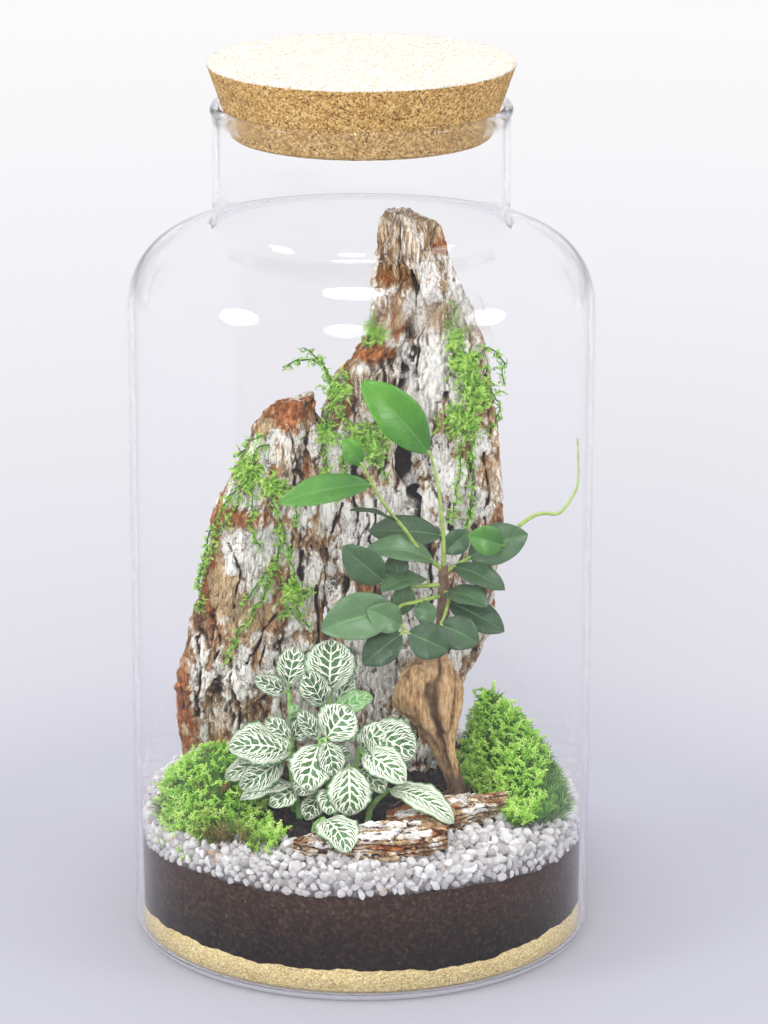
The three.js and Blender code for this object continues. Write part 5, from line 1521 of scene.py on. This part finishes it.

# %% [markdown]
# The fig's leaves are smooth and leathery. Each shoot is one node, given as the points of its stem, then
# its leaves. A leaf's row holds its foot, its tip, its width, the way its upper side faces, and how young
# it is, if it is. The places were read off the photograph and set at likely depths.

# %% Fig shoots
FIG_SHOOTS = {
    "fig_shoot_top": ([[33, -17, 154], [33, -16, 168], [31, -16, 189], [28, -18, 203], [26.5, -19, 207]], [
        [26.5, -19, 206, 1, -26, 237, 16.5, 0.3, -1, 0.35, 1],
        [32.5, -14.5, 170, 3, -16.5, 173, 12, 0, -0.8, 0.6],
        [33, -15.5, 163, 43, -12, 171, 9, 0.2, -1, 0.3],
    ]),
    "fig_shoot_left": ([
        [33, -17, 156], [24, -21, 165], [17, -25, 176], [13, -26, 181], [6, -28, 192], [0, -30, 205],
    ], [
        [0, -30, 204, -7, -33, 215, 8, 0.3, -1, 0.5, 1.3],
        [4, -28.5, 195.5, -33, -34, 190, 11, 0, -0.8, 0.6, 0.75],
        [15, -25.5, 179, -4, -32, 187, 9, 0, 0.05, 1],
        [29, -19, 160.5, 2, -33, 170, 11.5, 0.1, -0.6, 0.8],
    ]),
    "fig_shoot_right": ([
        [33, -17, 155], [45, -13, 161], [53, -12, 165], [67, -9, 175], [73, -7, 177], [80, -3, 176],
        [86, 0, 183], [88, 1, 190], [87.5, 2, 206],
    ], [
        [43, -13.5, 160.5, 66.5, -15, 171, 15, 0.1, -0.9, 0.6],
        [57, -17.5, 166.5, 43, -25, 173, 11, 0, -1, 0.4, 0.6],
        [37, -16, 157.5, 57, -30, 153, 10, 0, -0.6, 0.8],
    ]),
    "fig_leaves_middle": ([[33, -17, 150], [24, -22, 151], [14, -27.5, 152.5], [9.5, -30.5, 154]], [
        [9, -31, 156, -7, -38, 172, 13, -0.2, -1, 0.3], [15, -27, 155, 13, -25, 165.5, 9, 0, -1, 0.3],
        [26, -22, 154, 8, -37, 154.5, 11, 0, -0.35, 1],
        [16.5, -25.5, 154, 16, -26, 139.5, 9, 0.3, -1, 0.1],
    ]),
    "fig_leaves_low": ([
        [33, -17, 145.5], [22, -27, 146], [15, -34, 146], [16, -37, 141], [17, -38, 137],
    ], [
        [14, -34.5, 145.5, -16, -44, 140, 17, -0.1, -1, 0.5],
        [16, -39, 136.5, 0.5, -45, 126, 12, 0, -1, 0.5],
        [16, -38, 139.5, 2.5, -42, 147.5, 11, -0.1, -1, 0.5],
        [18.5, -39.5, 137, 34.5, -43.5, 131, 13.5, 0, -1, 0.5],
        [24, -25, 146, 27, -31, 136.5, 8, 0.2, -1, 0.1],
    ]),
    "fig_leaves_right": ([[33, -17, 148], [35, -23, 146], [33, -30, 140.5], [31.5, -33, 138.5]], [
        [35, -24, 145, 57, -33, 136, 12, 0, -0.8, 0.7], [34, -20, 148, 50, -36, 148, 11, 0, -0.5, 0.9],
        [31.5, -33, 138.5, 46.5, -38, 132.5, 13, 0.1, -1, 0.5],
    ]),
}
print("fig leaves:", sum(len(leaves) for _, leaves in FIG_SHOOTS.values()))

# %% [markdown]
# Mature fig leaves are a dull, dark green with a soft gloss, and young ones are bright. A pale midrib and
# faint side veins are drawn from each point's place on its leaf.

# %% Finish of the fig leaves
fig = Finish("fig_leaf_green", Roughness=0.36, Specular_IOR_Level=0.35)
fig_u, fig_v, fig_tone = fig.marks("leaf_u", "leaf_v", "tone")
fig_cloud = fig.noise(7, 3)
mature_green = fig.ramp(
    fig_tone * 0.7 + fig_cloud * 0.3,
    (0.15, 0.023, 0.056, 0.024), (0.5, 0.048, 0.106, 0.044), (0.85, 0.1, 0.195, 0.082),
)
young_green = fig.ramp(
    fig_cloud * 0.5 + fig_u * 0.5,
    (0.2, 0.024, 0.135, 0.004), (0.5, 0.056, 0.225, 0.01), (0.85, 0.11, 0.33, 0.026),
)
fig_green = fig.blend(fig.mark("young").least(1.0), mature_green, young_green)
fig_rib = abs(fig_v).step(0.055, 0.02) * (1 - fig_u * 0.7)
fig_vein_phase = ((fig_u - abs(fig_v) * 0.18) * 11).fraction()
fig_vein = abs(fig_vein_phase - 0.5).step(0.08, 0.02) * 0.25 * abs(fig_v).step(1.0, 0.7)
fig_green = fig.blend((fig_rib * 0.5).most(fig_vein * 0.6), fig_green, (0.2, 0.4, 0.12))
stem_green = fig.ramp(fig.noise(3, 2), (0.3, 0.22, 0.32, 0.06), (0.7, 0.4, 0.56, 0.12))
fig_green = fig.blend(fig.mark("green_stem"), fig_green, stem_green)
fig.set(Base_Color=fig_green, Normal=fig.bump(fig_vein * 2 - fig_rib * 0.6, 0.25, 0.5))
print("nodes in the fig leaves:", len(fig.tree.nodes))

# %% Fig leaves
def fig_outline(u):
    """Half width of a fig leaf: an ellipse with a short point."""
    return 1.1 * np.sin(np.pi * np.clip(u, 0, 1) ** 1.05) ** 0.66 + 0.05 * (1 - u)


fig_stem = [0.95, 0.75, 0.5]
fig_plant = plant(FIG_SHOOTS, fig_outline, 0.34, 0.08, fig_stem, 0.5, ripple=0.35, droop=0.06, curl=0.16)
for shoot_name, points, faces, marks in fig_plant:
    make_piece(shoot_name + "_grown", points, faces, fig, "fig_leaf", [shoot_name], marks=marks)

# %% [markdown]
# The fittonia has eight short stems, each one node. Most of its leaves come in pairs, and small ones fill
# the gaps. Rows are as for the fig.

# %% Fittonia stems
FITTONIA_STEMS = {
    "fittonia_stem_back_left": ([[-27, -37, 55], [-28, -38, 78], [-28, -37, 96], [-29, -34, 110]], [
        [-29.5, -33, 113, -26.5, -31, 128, 12, 0, -0.9, 0.3],
        [-30, -34, 110, -42, -40, 118, 8, -0.3, -0.8, 0.5],
        [-28, -37, 99, -26.5, -41, 107, 5, 0.4, -0.9, 0.2, 1],
        [-28, -38, 92, -20, -41, 101, 9, 0.2, -0.9, 0.5],
    ]),
    "fittonia_stem_back": ([[-14, -35, 55], [-13, -35, 80], [-13, -35, 98], [-13, -36, 110]], [
        [-13, -36, 111, -12, -30, 131, 20, 0, -1, 0.4], [-15, -38, 106, -22, -42, 121, 12, 0, -1, 0.3],
        [-11, -34, 104, -4.5, -27, 116, 9, 0.2, -1, 0.3],
        [-11, -37, 103, 4, -37, 110, 9, 0, -0.8, 0.7, 1],
    ]),
    "fittonia_stem_left": ([[-24, -43, 55], [-27, -42.5, 74], [-29, -42, 88]], [
        [-29, -42, 88, -52, -51, 94, 19, -0.1, -0.7, 0.8],
        [-28.5, -41, 92.3, -38, -39, 101, 8, 0, -0.8, 0.6],
        [-31, -43, 85.5, -48, -52, 76, 12, 0.2, -0.9, 0.3],
        [-31.5, -40.5, 85.5, -55, -44, 78, 10.5, -0.5, -0.8, 0.4],
        [-27, -43.5, 74, -48, -53, 73, 9, 0, -0.5, 0.9], [-28.5, -42, 86, -37, -46, 92, 10, 0, -0.7, 0.7],
        [-26.5, -43, 72, -36, -52, 69, 10, 0.1, -0.8, 0.6],
        [-27, -43, 82, -19, -47, 88, 10, 0.1, -0.8, 0.6],
    ]),
    "fittonia_stem_middle": ([[-17, -44, 55], [-17, -44.5, 76], [-16, -46, 94]], [
        [-17, -46, 92, -22, -57, 77, 17, -0.1, -0.9, 0.5],
        [-14, -50, 95, -10.5, -59, 84, 11, 0.2, -0.9, 0.4],
        [-14, -46.5, 95, -4.5, -44, 107, 17, 0, -0.9, 0.5],
        [-17, -43, 93, -24.5, -42, 105, 8, 0, -1, 0.3], [-17, -45, 80, -26, -52, 74, 11, -0.1, -0.9, 0.5],
        [-16, -45, 84, -5, -49, 90, 10, 0.1, -0.8, 0.6], [-17, -44, 70, -22, -54, 64, 9, 0, -0.8, 0.6],
    ]),
    "fittonia_stem_right": ([[-6, -41, 55], [-3, -41, 78], [1, -41, 94]], [
        [2, -41, 96, 21, -50, 90, 19, 0, -0.9, 0.5], [1, -46, 88, 17, -62, 83.5, 14, 0.1, -0.8, 0.6],
        [0, -41, 88, 9, -44, 100, 11, 0.1, -0.9, 0.5], [-1, -42, 80, 9, -54, 76, 10, 0.2, -0.8, 0.6],
    ]),
    "fittonia_stem_front": ([[-11, -50, 55], [-9, -50.5, 72], [-5, -52, 84]], [
        [-5, -53.5, 85.5, -4.5, -60.5, 67.5, 17, 0, -0.9, 0.4],
        [-10.5, -51.5, 75, -13, -60.5, 68.5, 12, 0, -0.7, 0.7],
    ]),
    "fittonia_stem_low": ([[-19, -57, 53], [-18.5, -58, 62], [-15, -64, 67.5]], [
        [-14.5, -65, 67.5, -5, -85.5, 63.5, 16, 0, -0.3, 1],
    ]),
    "fittonia_stem_low_right": ([[2, -47, 55], [4, -47, 66], [11, -49.5, 74.5]], [
        [11.5, -50, 74.5, 36.5, -64, 67.5, 12, 0, -0.6, 0.8],
    ]),
}
print("fittonia leaves:", sum(len(leaves) for _, leaves in FITTONIA_STEMS.values()))

# %% [markdown]
# Fittonia leaves are netted with white: veins run from the midrib, fork, and join in a net. A drawn net
# stays sharp on every leaf. It is drawn from each point's place on its leaf: how far along, how far from
# the midrib, and how many side veins a leaf of that length has.

# %% Net of white veins
fittonia = Finish("fittonia_leaf_net", Roughness=0.5, Specular_IOR_Level=0.3)
place_u, place_v, place_tone = fittonia.marks("leaf_u", "leaf_v", "tone")
leaf_x, leaf_y = fittonia.marks("leaf_x", "leaf_y")
leaf_place = fittonia.node("CombineXYZ", None, {0: leaf_x, 1: leaf_y, 2: place_tone * 40})
sway = fittonia.node("TexNoise", None, {"Vector": leaf_place, "Scale": 0.42, "Detail": 2.0})
off_rib = abs(place_v)  # 0 on the midrib, 1 at the edge
fan = place_u - off_rib**1.15 * 0.42 + (sway - 0.5) * 0.13
phase = abs((fan * fittonia.mark("fan") + 0.5).fraction() - 0.5)
stout = 0.85 + place_tone * 0.75


def vein(distance, half):
    """White where the distance to a vein is less than its half width."""
    return (distance / stout).step(half, half * 0.45)


first_fork = off_rib.step(0.14, 0.62) * 0.5
second_fork = off_rib.step(0.52, 0.95) * 0.25
narrow = 1 - off_rib * 0.45
rib = vein(off_rib + place_u * 0.04, 0.06)
laterals = vein(phase / narrow, 0.125) * off_rib.step(0.98, 0.86)
forks = vein(abs(phase - first_fork) / narrow, 0.115) * off_rib.step(0.98, 0.88)
twigs = vein(abs(phase - second_fork).least(abs(0.5 - phase - second_fork)) / narrow, 0.088)
twigs = twigs * off_rib.step(0.5, 0.62) * off_rib.step(0.97, 0.85)
veins = rib.most(laterals).most(forks).most(twigs * 0.8)
net_place = fittonia.node("VectorMath", {"operation": "ADD"}, {0: leaf_place, 1: (0.3, 0.7, 0)})
net = fittonia.node("TexVoronoi", {"feature": "DISTANCE_TO_EDGE"}, {"Vector": net_place, "Scale": 0.95})
veins = veins.most(net.step(0.05, 0.01) * 0.35)
print("nodes in the net:", len(fittonia.tree.nodes))

# %% [markdown]
# The green between the veins differs from leaf to leaf, and young leaves are brighter and less netted. The
# margin is a thin green line. The veins lie a little lower than the green, so they also feed the bump.

# %% Finish of the fittonia
white_leaf = fittonia.ramp(fittonia.noise(3, 2), (0.3, 0.86, 0.91, 0.7), (0.7, 0.99, 1.0, 0.9))
green_leaf = fittonia.ramp(
    fittonia.noise(3, 2) + (place_tone - 0.5) * 0.35,
    (0.2, 0.016, 0.06, 0.014), (0.5, 0.038, 0.125, 0.03), (0.9, 0.1, 0.26, 0.065),
)
young_leaf = fittonia.ramp(sway, (0.3, 0.09, 0.3, 0.06), (0.7, 0.2, 0.46, 0.12))
green_leaf = fittonia.blend(fittonia.mark("young"), green_leaf, young_leaf)
white_share = veins * (1 - fittonia.mark("young") * 0.55)
leaf_colour = fittonia.blend(white_share, green_leaf, white_leaf)
margin = off_rib.step(0.93, 0.99) * 0.35
leaf_colour = fittonia.blend(margin, leaf_colour, (0.12, 0.3, 0.1))
fittonia_stem = fittonia.ramp(fittonia.noise(2.5, 2), (0.3, 0.16, 0.36, 0.08), (0.7, 0.34, 0.56, 0.18))
leaf_colour = fittonia.blend(fittonia.mark("green_stem"), leaf_colour, fittonia_stem)
fittonia.set(Base_Color=leaf_colour, Normal=fittonia.bump(1 - veins, 0.3, 0.6))

# %% Fittonia leaves
def fittonia_outline(u):
    """Half width of a fittonia leaf: blunt, with a softly scalloped edge."""
    scallop = 1.04 + 0.04 * np.sin(38 * u)
    return np.sin(np.pi * np.clip(u, 0, 1) ** 1.18) ** 0.55 * scallop + 0.08 * (1 - u)


fittonia_plants = plant(
    FITTONIA_STEMS, fittonia_outline, 0.36, 0.1, [1.35, 1.15, 0.9], 0.7, ripple=0.8, rows=36, columns=21,
    droop=0.1, curl=0.2,
)
for stem_name, points, faces, marks in fittonia_plants:
    make_piece(stem_name + "_grown", points, faces, fittonia, "fittonia_leaf", [stem_name], marks=marks)

# %% [markdown]
# The moss is a frizzy mass of thin threads that curl at their ends. One thread is a spine whose bend grows
# towards its tip, with a leaf like a blunt bead on every side. A few threads are copied by the hundred,
# over the two clumps and along the strands on the bark.

# %% Threads of moss
BEADS = 22  # leaves on a thread


def curl_shape(draw, bend):
    """Thread about one unit tall, thick with blunt leaves, that curls as it grows."""
    share = np.linspace(0, 1, 16)
    tilt = bend * share**1.6
    roll = draw.uniform(-0.8, 0.8) * share
    steps = np.stack([np.sin(tilt) * np.cos(roll), np.sin(tilt) * np.sin(roll), np.cos(tilt)], axis=-1)
    spine = np.cumsum(steps, axis=0) * 0.085
    shapes = [tube(spine[::3], [0.06, 0.03], 3, 7)]
    for number in range(BEADS):
        at = min(14, int(15 * (0.08 + 0.92 * number / BEADS)))
        forward = unit(spine[at + 1] - spine[at])
        turn = number * 2.4 + draw.uniform(-0.6, 0.6)
        side = unit(np.cross(forward, (math.cos(turn), math.sin(turn), 0.31)))
        out = unit(side + forward * draw.uniform(-0.2, 0.9))
        across = unit(np.cross(out, forward))
        size = draw.uniform(0.075, 0.125) * (1.1 - 0.35 * number / BEADS)
        foot = spine[at] + out * 0.01
        middle = foot + out * size * 1.1
        tip = foot + out * size * 2.2 + forward * draw.uniform(-0.4, 0.6) * size
        ring = [middle + across * size * 0.62, middle + forward * size * 0.5]
        ring += [middle - across * size * 0.62, middle - forward * size * 0.5]
        sides = [[0, 2, 1], [0, 3, 2], [0, 4, 3], [0, 1, 4], [5, 1, 2], [5, 2, 3], [5, 3, 4], [5, 4, 1]]
        shapes.append((np.array([foot, *ring, tip]), np.array(sides)))
    return several(shapes)


def grass_shape(draw):
    """Tuft of seven thin blades about one unit tall, for the darker moss."""
    shapes = []
    for _ in range(7):
        turn = draw.uniform(0, 2 * np.pi)
        lean = draw.uniform(0.1, 0.6)
        way = np.array([math.cos(turn) * lean, math.sin(turn) * lean, 1])
        knots = [(0, 0, 0), 0.5 * way, way * [1.35, 1.35, 0.9] * draw.uniform(0.75, 1.1)]
        shapes.append(tube(knots, [0.045, 0.035, 0.008], 3, 5))
    return several(shapes)


def aimed(draw, ways):
    """Rotations that turn +Z to given ways, with a random turn about it."""
    ways = unit(ways)
    other = unit(np.cross(ways, draw.normal(size=ways.shape)))
    return np.stack([other, np.cross(ways, other), ways], axis=-1)


moss_draw = np.random.default_rng(33)
curls = [curl_shape(moss_draw, bend) for bend in (0.8, 1.6, 2.4, 3.2, 4.0, 2.0, 2.8, 3.6)]
grasses = [grass_shape(moss_draw) for _ in range(4)]
print("triangles of a thread:", len(curls[0][1]), "and of a tuft:", len(grasses[0][1]))

# %% [markdown]
# The tips of the moss are a bright yellow green and its depths are dark, so the colour reads how far along
# its thread a point is: partly the lighter new growth, and partly painted light on the tips and painted
# shade towards the base and in the heart. Some tufts are grassier and darker, and some are dry and brown.

# %% Finish of the moss
moss = Finish("frizzy_moss", Roughness=0.75)
# Tone by depth along the thread: partly lighter new growth, partly painted light and shade.
moss_tone = moss.mark("tone") * 0.35 + moss.noise(5, 3) * 0.35 + moss.mark("depth") * 0.4
moss_colour = moss.ramp(
    moss_tone,
    (0.2, 0.06, 0.19, 0.018), (0.42, 0.2, 0.46, 0.045), (0.62, 0.4, 0.74, 0.09),
    (0.9, 0.72, 0.93, 0.28),
)
# Painted shade: the base of each thread, and the hearts and runners, turn dark green.
moss_base_painted_shade = moss.mark("depth").step(0.45, 0.0)
moss_colour = moss.blend(moss_base_painted_shade * 0.85, moss_colour, (0.022, 0.07, 0.01))
grass_colour = moss.ramp(
    moss.mark("tone") * 0.6 + moss.mark("depth") * 0.4,
    (0.2, 0.03, 0.1, 0.012), (0.55, 0.1, 0.28, 0.03), (0.95, 0.28, 0.5, 0.08),
)
moss_colour = moss.blend(moss.mark("grassy"), moss_colour, grass_colour)
dry = moss.mark("dry") * moss.noise(5, 3).step(0.3, 0.55)
moss_colour = moss.blend(dry, moss_colour, (0.22, 0.15, 0.045))
moss.set(Base_Color=moss_colour, Normal=moss.bump(moss.noise(0.8, 3), 0.3, 0.5))
print("nodes in the moss:", len(moss.tree.nodes))

# %% Many threads as one piece
def moss_piece(name, node, centres, ways, sizes, dry, grassy, extra=()):
    """Many threads, with further shapes, as one piece."""
    count = len(centres)
    matrices = aimed(moss_draw, ways) * sizes[:, None, None]
    kinds = moss_draw.integers(0, len(curls), count)
    kinds = np.where(grassy > 0.5, len(curls) + kinds % len(grasses), kinds)
    points, faces, names = copies(curls + grasses, kinds, matrices, centres)
    away = ((points - centres[names]) * unit(ways)[names]).sum(axis=1) / sizes[names]
    tone = moss_draw.uniform(0, 1, count)
    marks = {"tone": tone[names], "depth": away, "dry": dry[names], "grassy": grassy[names]}
    shapes = [(points, faces)]
    for shape in extra:
        shapes.append(shape)
        blank = np.zeros(len(shape[0]))
        # Hearts and runners get a low depth, so the finish paints them dark as painted shade.
        plain = {"tone": blank + 0.35, "depth": blank + 0.1, "dry": blank, "grassy": blank}
        marks = {label: np.concatenate([marks[label], plain[label]]) for label in marks}
    points, faces = several(shapes)
    radius = np.hypot(points[:, 0], points[:, 1])
    points[:, :2] *= np.minimum(1, 90.2 / np.maximum(radius, 1))[:, None]
    make_piece(name, points, faces, moss, "moss", [node], marks=marks)
    print("threads:", count)

# %% [markdown]
# A clump is a rounded cone that leans. A rough heart, painted dark as shade, closes the gaps between its
# threads. Each clump is made in a low and a high piece, because one piece of so many faces would be
# thinned out when it is exported.

# %% Shapes of the clumps
MOSS_CLUMPS = {
    "moss_left": dict(
        middle=(-61, -37), half=(26, 45), foot=45, top=81, lean=(2, 16), turn=-0.35, slope=0.55, seed=11
    ),
    "moss_right": dict(
        middle=(66, -9), half=(22, 38), foot=45, top=95, lean=(-13, 22), turn=0.25, slope=0.8, seed=23
    ),
}
GOLDEN_TURN = np.pi * (3 - math.sqrt(5))  # steps of this angle never line up, so they cover a clump evenly
# Low moss in front of each clump: ranges of x, y and height.
MOSS_FRINGES = {
    "moss_left": [(-68, -32), (-76, -50), (57.5, 60.5)],
    "moss_right": [(58, 80), (-50, -28), (57.5, 61)],
}


def clump_skin(clump, angle, part, shrink=0.0):
    """Point on the rounded outside of a clump."""
    wide = (1 - part) ** clump["slope"]
    bump = 1 + 0.07 * np.sin(3 * angle + 7 * part + clump["seed"]) + 0.05 * np.sin(5 * angle - 9 * part)
    x = (clump["half"][0] - shrink) * wide * bump * np.cos(angle)
    y = (clump["half"][1] - shrink) * wide * bump * np.sin(angle)
    c, s = math.cos(clump["turn"]), math.sin(clump["turn"])
    px = clump["middle"][0] + c * x - s * y + clump["lean"][0] * part
    py = clump["middle"][1] + s * x + c * y + clump["lean"][1] * part
    pz = clump["foot"] + (clump["top"] - shrink - clump["foot"]) * part**0.85
    radius = np.hypot(px, py)
    squeeze = np.minimum(1, (84 - shrink) / np.maximum(radius, 1))
    return np.stack([px * squeeze, py * squeeze, pz], axis=-1)


print("top of the right clump:", clump_skin(MOSS_CLUMPS["moss_right"], 0.0, 0.98).round(1))

# %% [markdown]
# The threads stand all over a clump, pointing outwards and a little up. Where it meets the gravel in front,
# a fringe of further threads hides its edge.

# %% Clumps at the foot
for clump_name, clump in MOSS_CLUMPS.items():
    part, angle = np.meshgrid(np.linspace(0, 0.985, 40), np.arange(96) / 96 * 2 * np.pi, indexing="ij")
    skin = clump_skin(clump, angle, part, 2.5)
    normal = grid_normals(skin)
    skin = skin + normal * (1.5 * cloud(skin, 6, clump["seed"]) + 1.3 * cloud(skin, 1.8, 5))[..., None]
    heart = skinned(skin, skin[0].mean(axis=0), skin[-1].mean(axis=0))
    count = 1500
    number = np.arange(count)
    part = np.clip(1 - np.sqrt((number + moss_draw.uniform(0, 1, count)) / count), 0.05, 0.98)
    angle = number * GOLDEN_TURN + moss_draw.uniform(-0.12, 0.12, count)
    centres = clump_skin(clump, angle, part, 0.8)
    step = 1e-3
    round_way = clump_skin(clump, angle + step, part, 0.8) - centres
    up_way = clump_skin(clump, angle, np.clip(part + step, 0, 0.999), 0.8) - centres
    lumps = 3.0 * cloud(centres, 11, clump["seed"] + 3, 2)
    outward = unit(np.cross(round_way, up_way))
    centres = centres + outward * lumps[:, None]
    fringe = MOSS_FRINGES[clump_name]
    low = np.stack([moss_draw.uniform(a, b, 220) for a, b in fringe], axis=-1)
    centres = np.concatenate([centres, low[np.hypot(low[:, 0], low[:, 1]) < 87]])
    outward = np.concatenate([outward, np.tile([0.0, -0.3, 1.0], (len(centres) - count, 1))])
    count = len(centres)
    ways = outward + 0.55 * moss_draw.normal(size=(count, 3)) + [0, 0, 0.35]
    sizes = moss_draw.uniform(4.2, 7.0, count)
    x, y, z = centres.T
    patchy = cloud(centres, 9, clump["seed"] + 8, 2)
    if clump_name == "moss_left":
        brown = np.exp(-(((x + 56) / 12) ** 2) - ((y + 68) / 12) ** 2)
        rim = smooth_step(-x, 74, 82)
        dry = np.clip(1.3 * brown + rim + (patchy > 0.55), 0, 1)
        grassy = ((brown + 0.6 * rim + 0.2 * patchy + 0.3 * (z < 61)) > 0.5).astype(float)
    else:
        side = smooth_step(x, 66, 78) + smooth_step(-z, -62, -57) + 0.7 * smooth_step(y, 8, 20)
        dry = np.clip(smooth_step(-z, -56, -50) * 0.8, 0, 1)
        grassy = ((side + 0.9 * patchy) > 0.55).astype(float)
    ways = np.where(grassy[:, None] > 0.5, ways + [0, 0, 0.9], ways)
    high = centres[:, 2] > np.median(centres[:, 2])
    for part_name, chosen, extra in (("_frizz_low", ~high, ()), ("_frizz_high", high, [heart])):
        rows = (values[chosen] for values in (centres, ways, sizes, dry, grassy))
        moss_piece(clump_name + part_name, clump_name, *rows, extra)

# %% [markdown]
# Sprays of moss trail over the two slabs. A spray is a few rounded cores, given by place and radius, and
# strands given by their points, all in the plane of the slab's front.

# %% Places of the sprays
BARK_SPRAYS = {
    "moss_spray_left_edge": (LEFT, [[-47, 189, 4.5]], [
        [[-47, 190], [-46, 198], [-41, 204]], [[-48, 186], [-44, 178], [-45, 168], [-41, 158]],
        [[-46, 190], [-42, 198], [-38, 200]],
        [[-46, 188], [-54, 178], [-59, 166], [-63, 153], [-67, 139]],
        [[-50, 180], [-57, 164], [-64, 146], [-66, 130]], [[-46, 188], [-40, 186], [-34, 183]],
    ]),
    "moss_spray_left_face": (LEFT, [[-37, 184, 4], [-27, 138, 4]], [
        [[-30, 184], [-26, 176], [-27, 166]], [[-20, 140], [-27, 133], [-22, 124]],
        [[-33, 168], [-36, 178], [-30, 184]], [[-33, 166], [-34, 152], [-42, 143], [-48, 134]],
        [[-33, 166], [-28, 150], [-26, 136], [-33, 128]],
        [[-34, 152], [-40, 136], [-52, 120], [-55, 108]],
    ]),
    "moss_spray_middle": (TALL, [[-9, 224, 4.5], [2, 203, 7], [-13, 206, 3.5]], [
        [[-10, 222], [-17, 232], [-26, 233], [-31, 231]], [[-16, 232], [-20, 236], [-24, 238]],
        [[-8, 219], [-5, 211], [0, 203]], [[-10, 224], [-15, 231], [-17, 234]],
        [[-10, 220], [-13, 207], [-13, 192], [-11, 178]], [[-2, 206], [-6, 195], [-8, 183]],
        [[3, 200], [8, 192], [10, 186]],
    ]),
    "moss_spray_right": (TALL, [[38, 244, 4], [42, 234, 5], [46, 223, 6.5], [40, 212, 5.5]], [
        [[45, 236], [52, 238], [57, 232], [58, 222]], [[48, 224], [55, 217], [57, 211], [52, 205]],
        [[36, 250], [39, 256], [38, 260]], [[42, 230], [44, 222], [46, 215]],
        [[42, 230], [38, 243], [38, 250]], [[44, 212], [40, 200], [38, 186], [37, 170]],
        [[46, 212], [44, 197], [45, 182], [43, 166]],
    ]),
    "moss_spray_top": (TALL, [[5.5, 247, 2.8]], [
        [[5.5, 247], [6, 256]], [[5.5, 247], [2.5, 240]],
    ]),
}
print("strands:", sum(len(strands) for _, _, strands in BARK_SPRAYS.values()))

# %% [markdown]
# Cores and strands are laid on the skin of their slab, lifted by the depth of its relief. A strand is a
# thin runner with small threads along it, so nothing hangs loose where it leaves the bark.

# %% Moss on the bark
def on_bark(slab, x, z, lift, free=False):
    """Points on the front of a slab, lifted off it. Free ones may reach past its side."""
    low, high = row_at(slab["rows"], z)[:2]
    share = np.clip((x - (low + high) / 2) / ((high - low) / 2), -0.999, 0.999)
    angle = -np.arccos(np.sign(share) * np.abs(share) ** (1 / 0.8))
    skin = slab_skin(slab, angle, z)
    out = np.stack([share**3, -np.sqrt(1 - share**6), np.zeros_like(share)], axis=-1)
    points = skin + out * np.asarray(lift)[..., None]
    if free:
        points[..., 0] = np.where((x < low) | (x > high), x, points[..., 0])
    return points


for spray_name, (slab, cores, strands) in BARK_SPRAYS.items():
    centres, ways, sizes, threads = [], [], [], []
    for x, z, radius in cores:
        count = int(10.2 * radius**1.5)
        spread = moss_draw.normal(size=(count, 2)) * radius * 0.55
        core_x, core_z = x + spread[:, 0], z + spread[:, 1]
        core = on_bark(slab, core_x, core_z, moss_draw.uniform(0.5, radius * 0.6, count))
        centres.append(core)
        ways.append(moss_draw.normal(size=(count, 3)) + [0, -1.2, -0.2])
        sizes.append(moss_draw.uniform(2.8, 4.8, count))
    for strand in strands:
        flat = np.array([[x, 0, z] for x, z in strand], float)
        length = np.linalg.norm(np.diff(flat, axis=0), axis=1).sum()
        line = smooth_line(flat, max(6, int(length / 1.2)))
        wobble = cloud(line[:, None] + [[3.0, 7.0, 1.0], [9.0, 2.0, 5.0], [4.0, 4.0, 9.0]], 4, 44)
        x, z = line[:, 0] + 2.0 * wobble[:, 0], line[:, 2] + wobble[:, 2]
        path = on_bark(slab, x, z, 1.9 + 1.2 * wobble[:, 1], free=True)
        threads.append(tube(path, [0.42, 0.32], 4, 2 * len(path)))
        count = int(length * 2.2)
        pick = moss_draw.integers(0, len(path), count)
        centres.append(path[pick] + 0.45 * moss_draw.normal(size=(count, 3)))
        ways.append(moss_draw.normal(size=(count, 3)) + [0, -0.8, -0.5])
        sizes.append(moss_draw.uniform(1.7, 3.1, count))
    centres, ways, sizes = (np.concatenate(rows) for rows in (centres, ways, sizes))
    none = np.zeros(len(centres))
    moss_piece(spray_name + "_frizz", spray_name, centres, ways, sizes, none, none, threads)
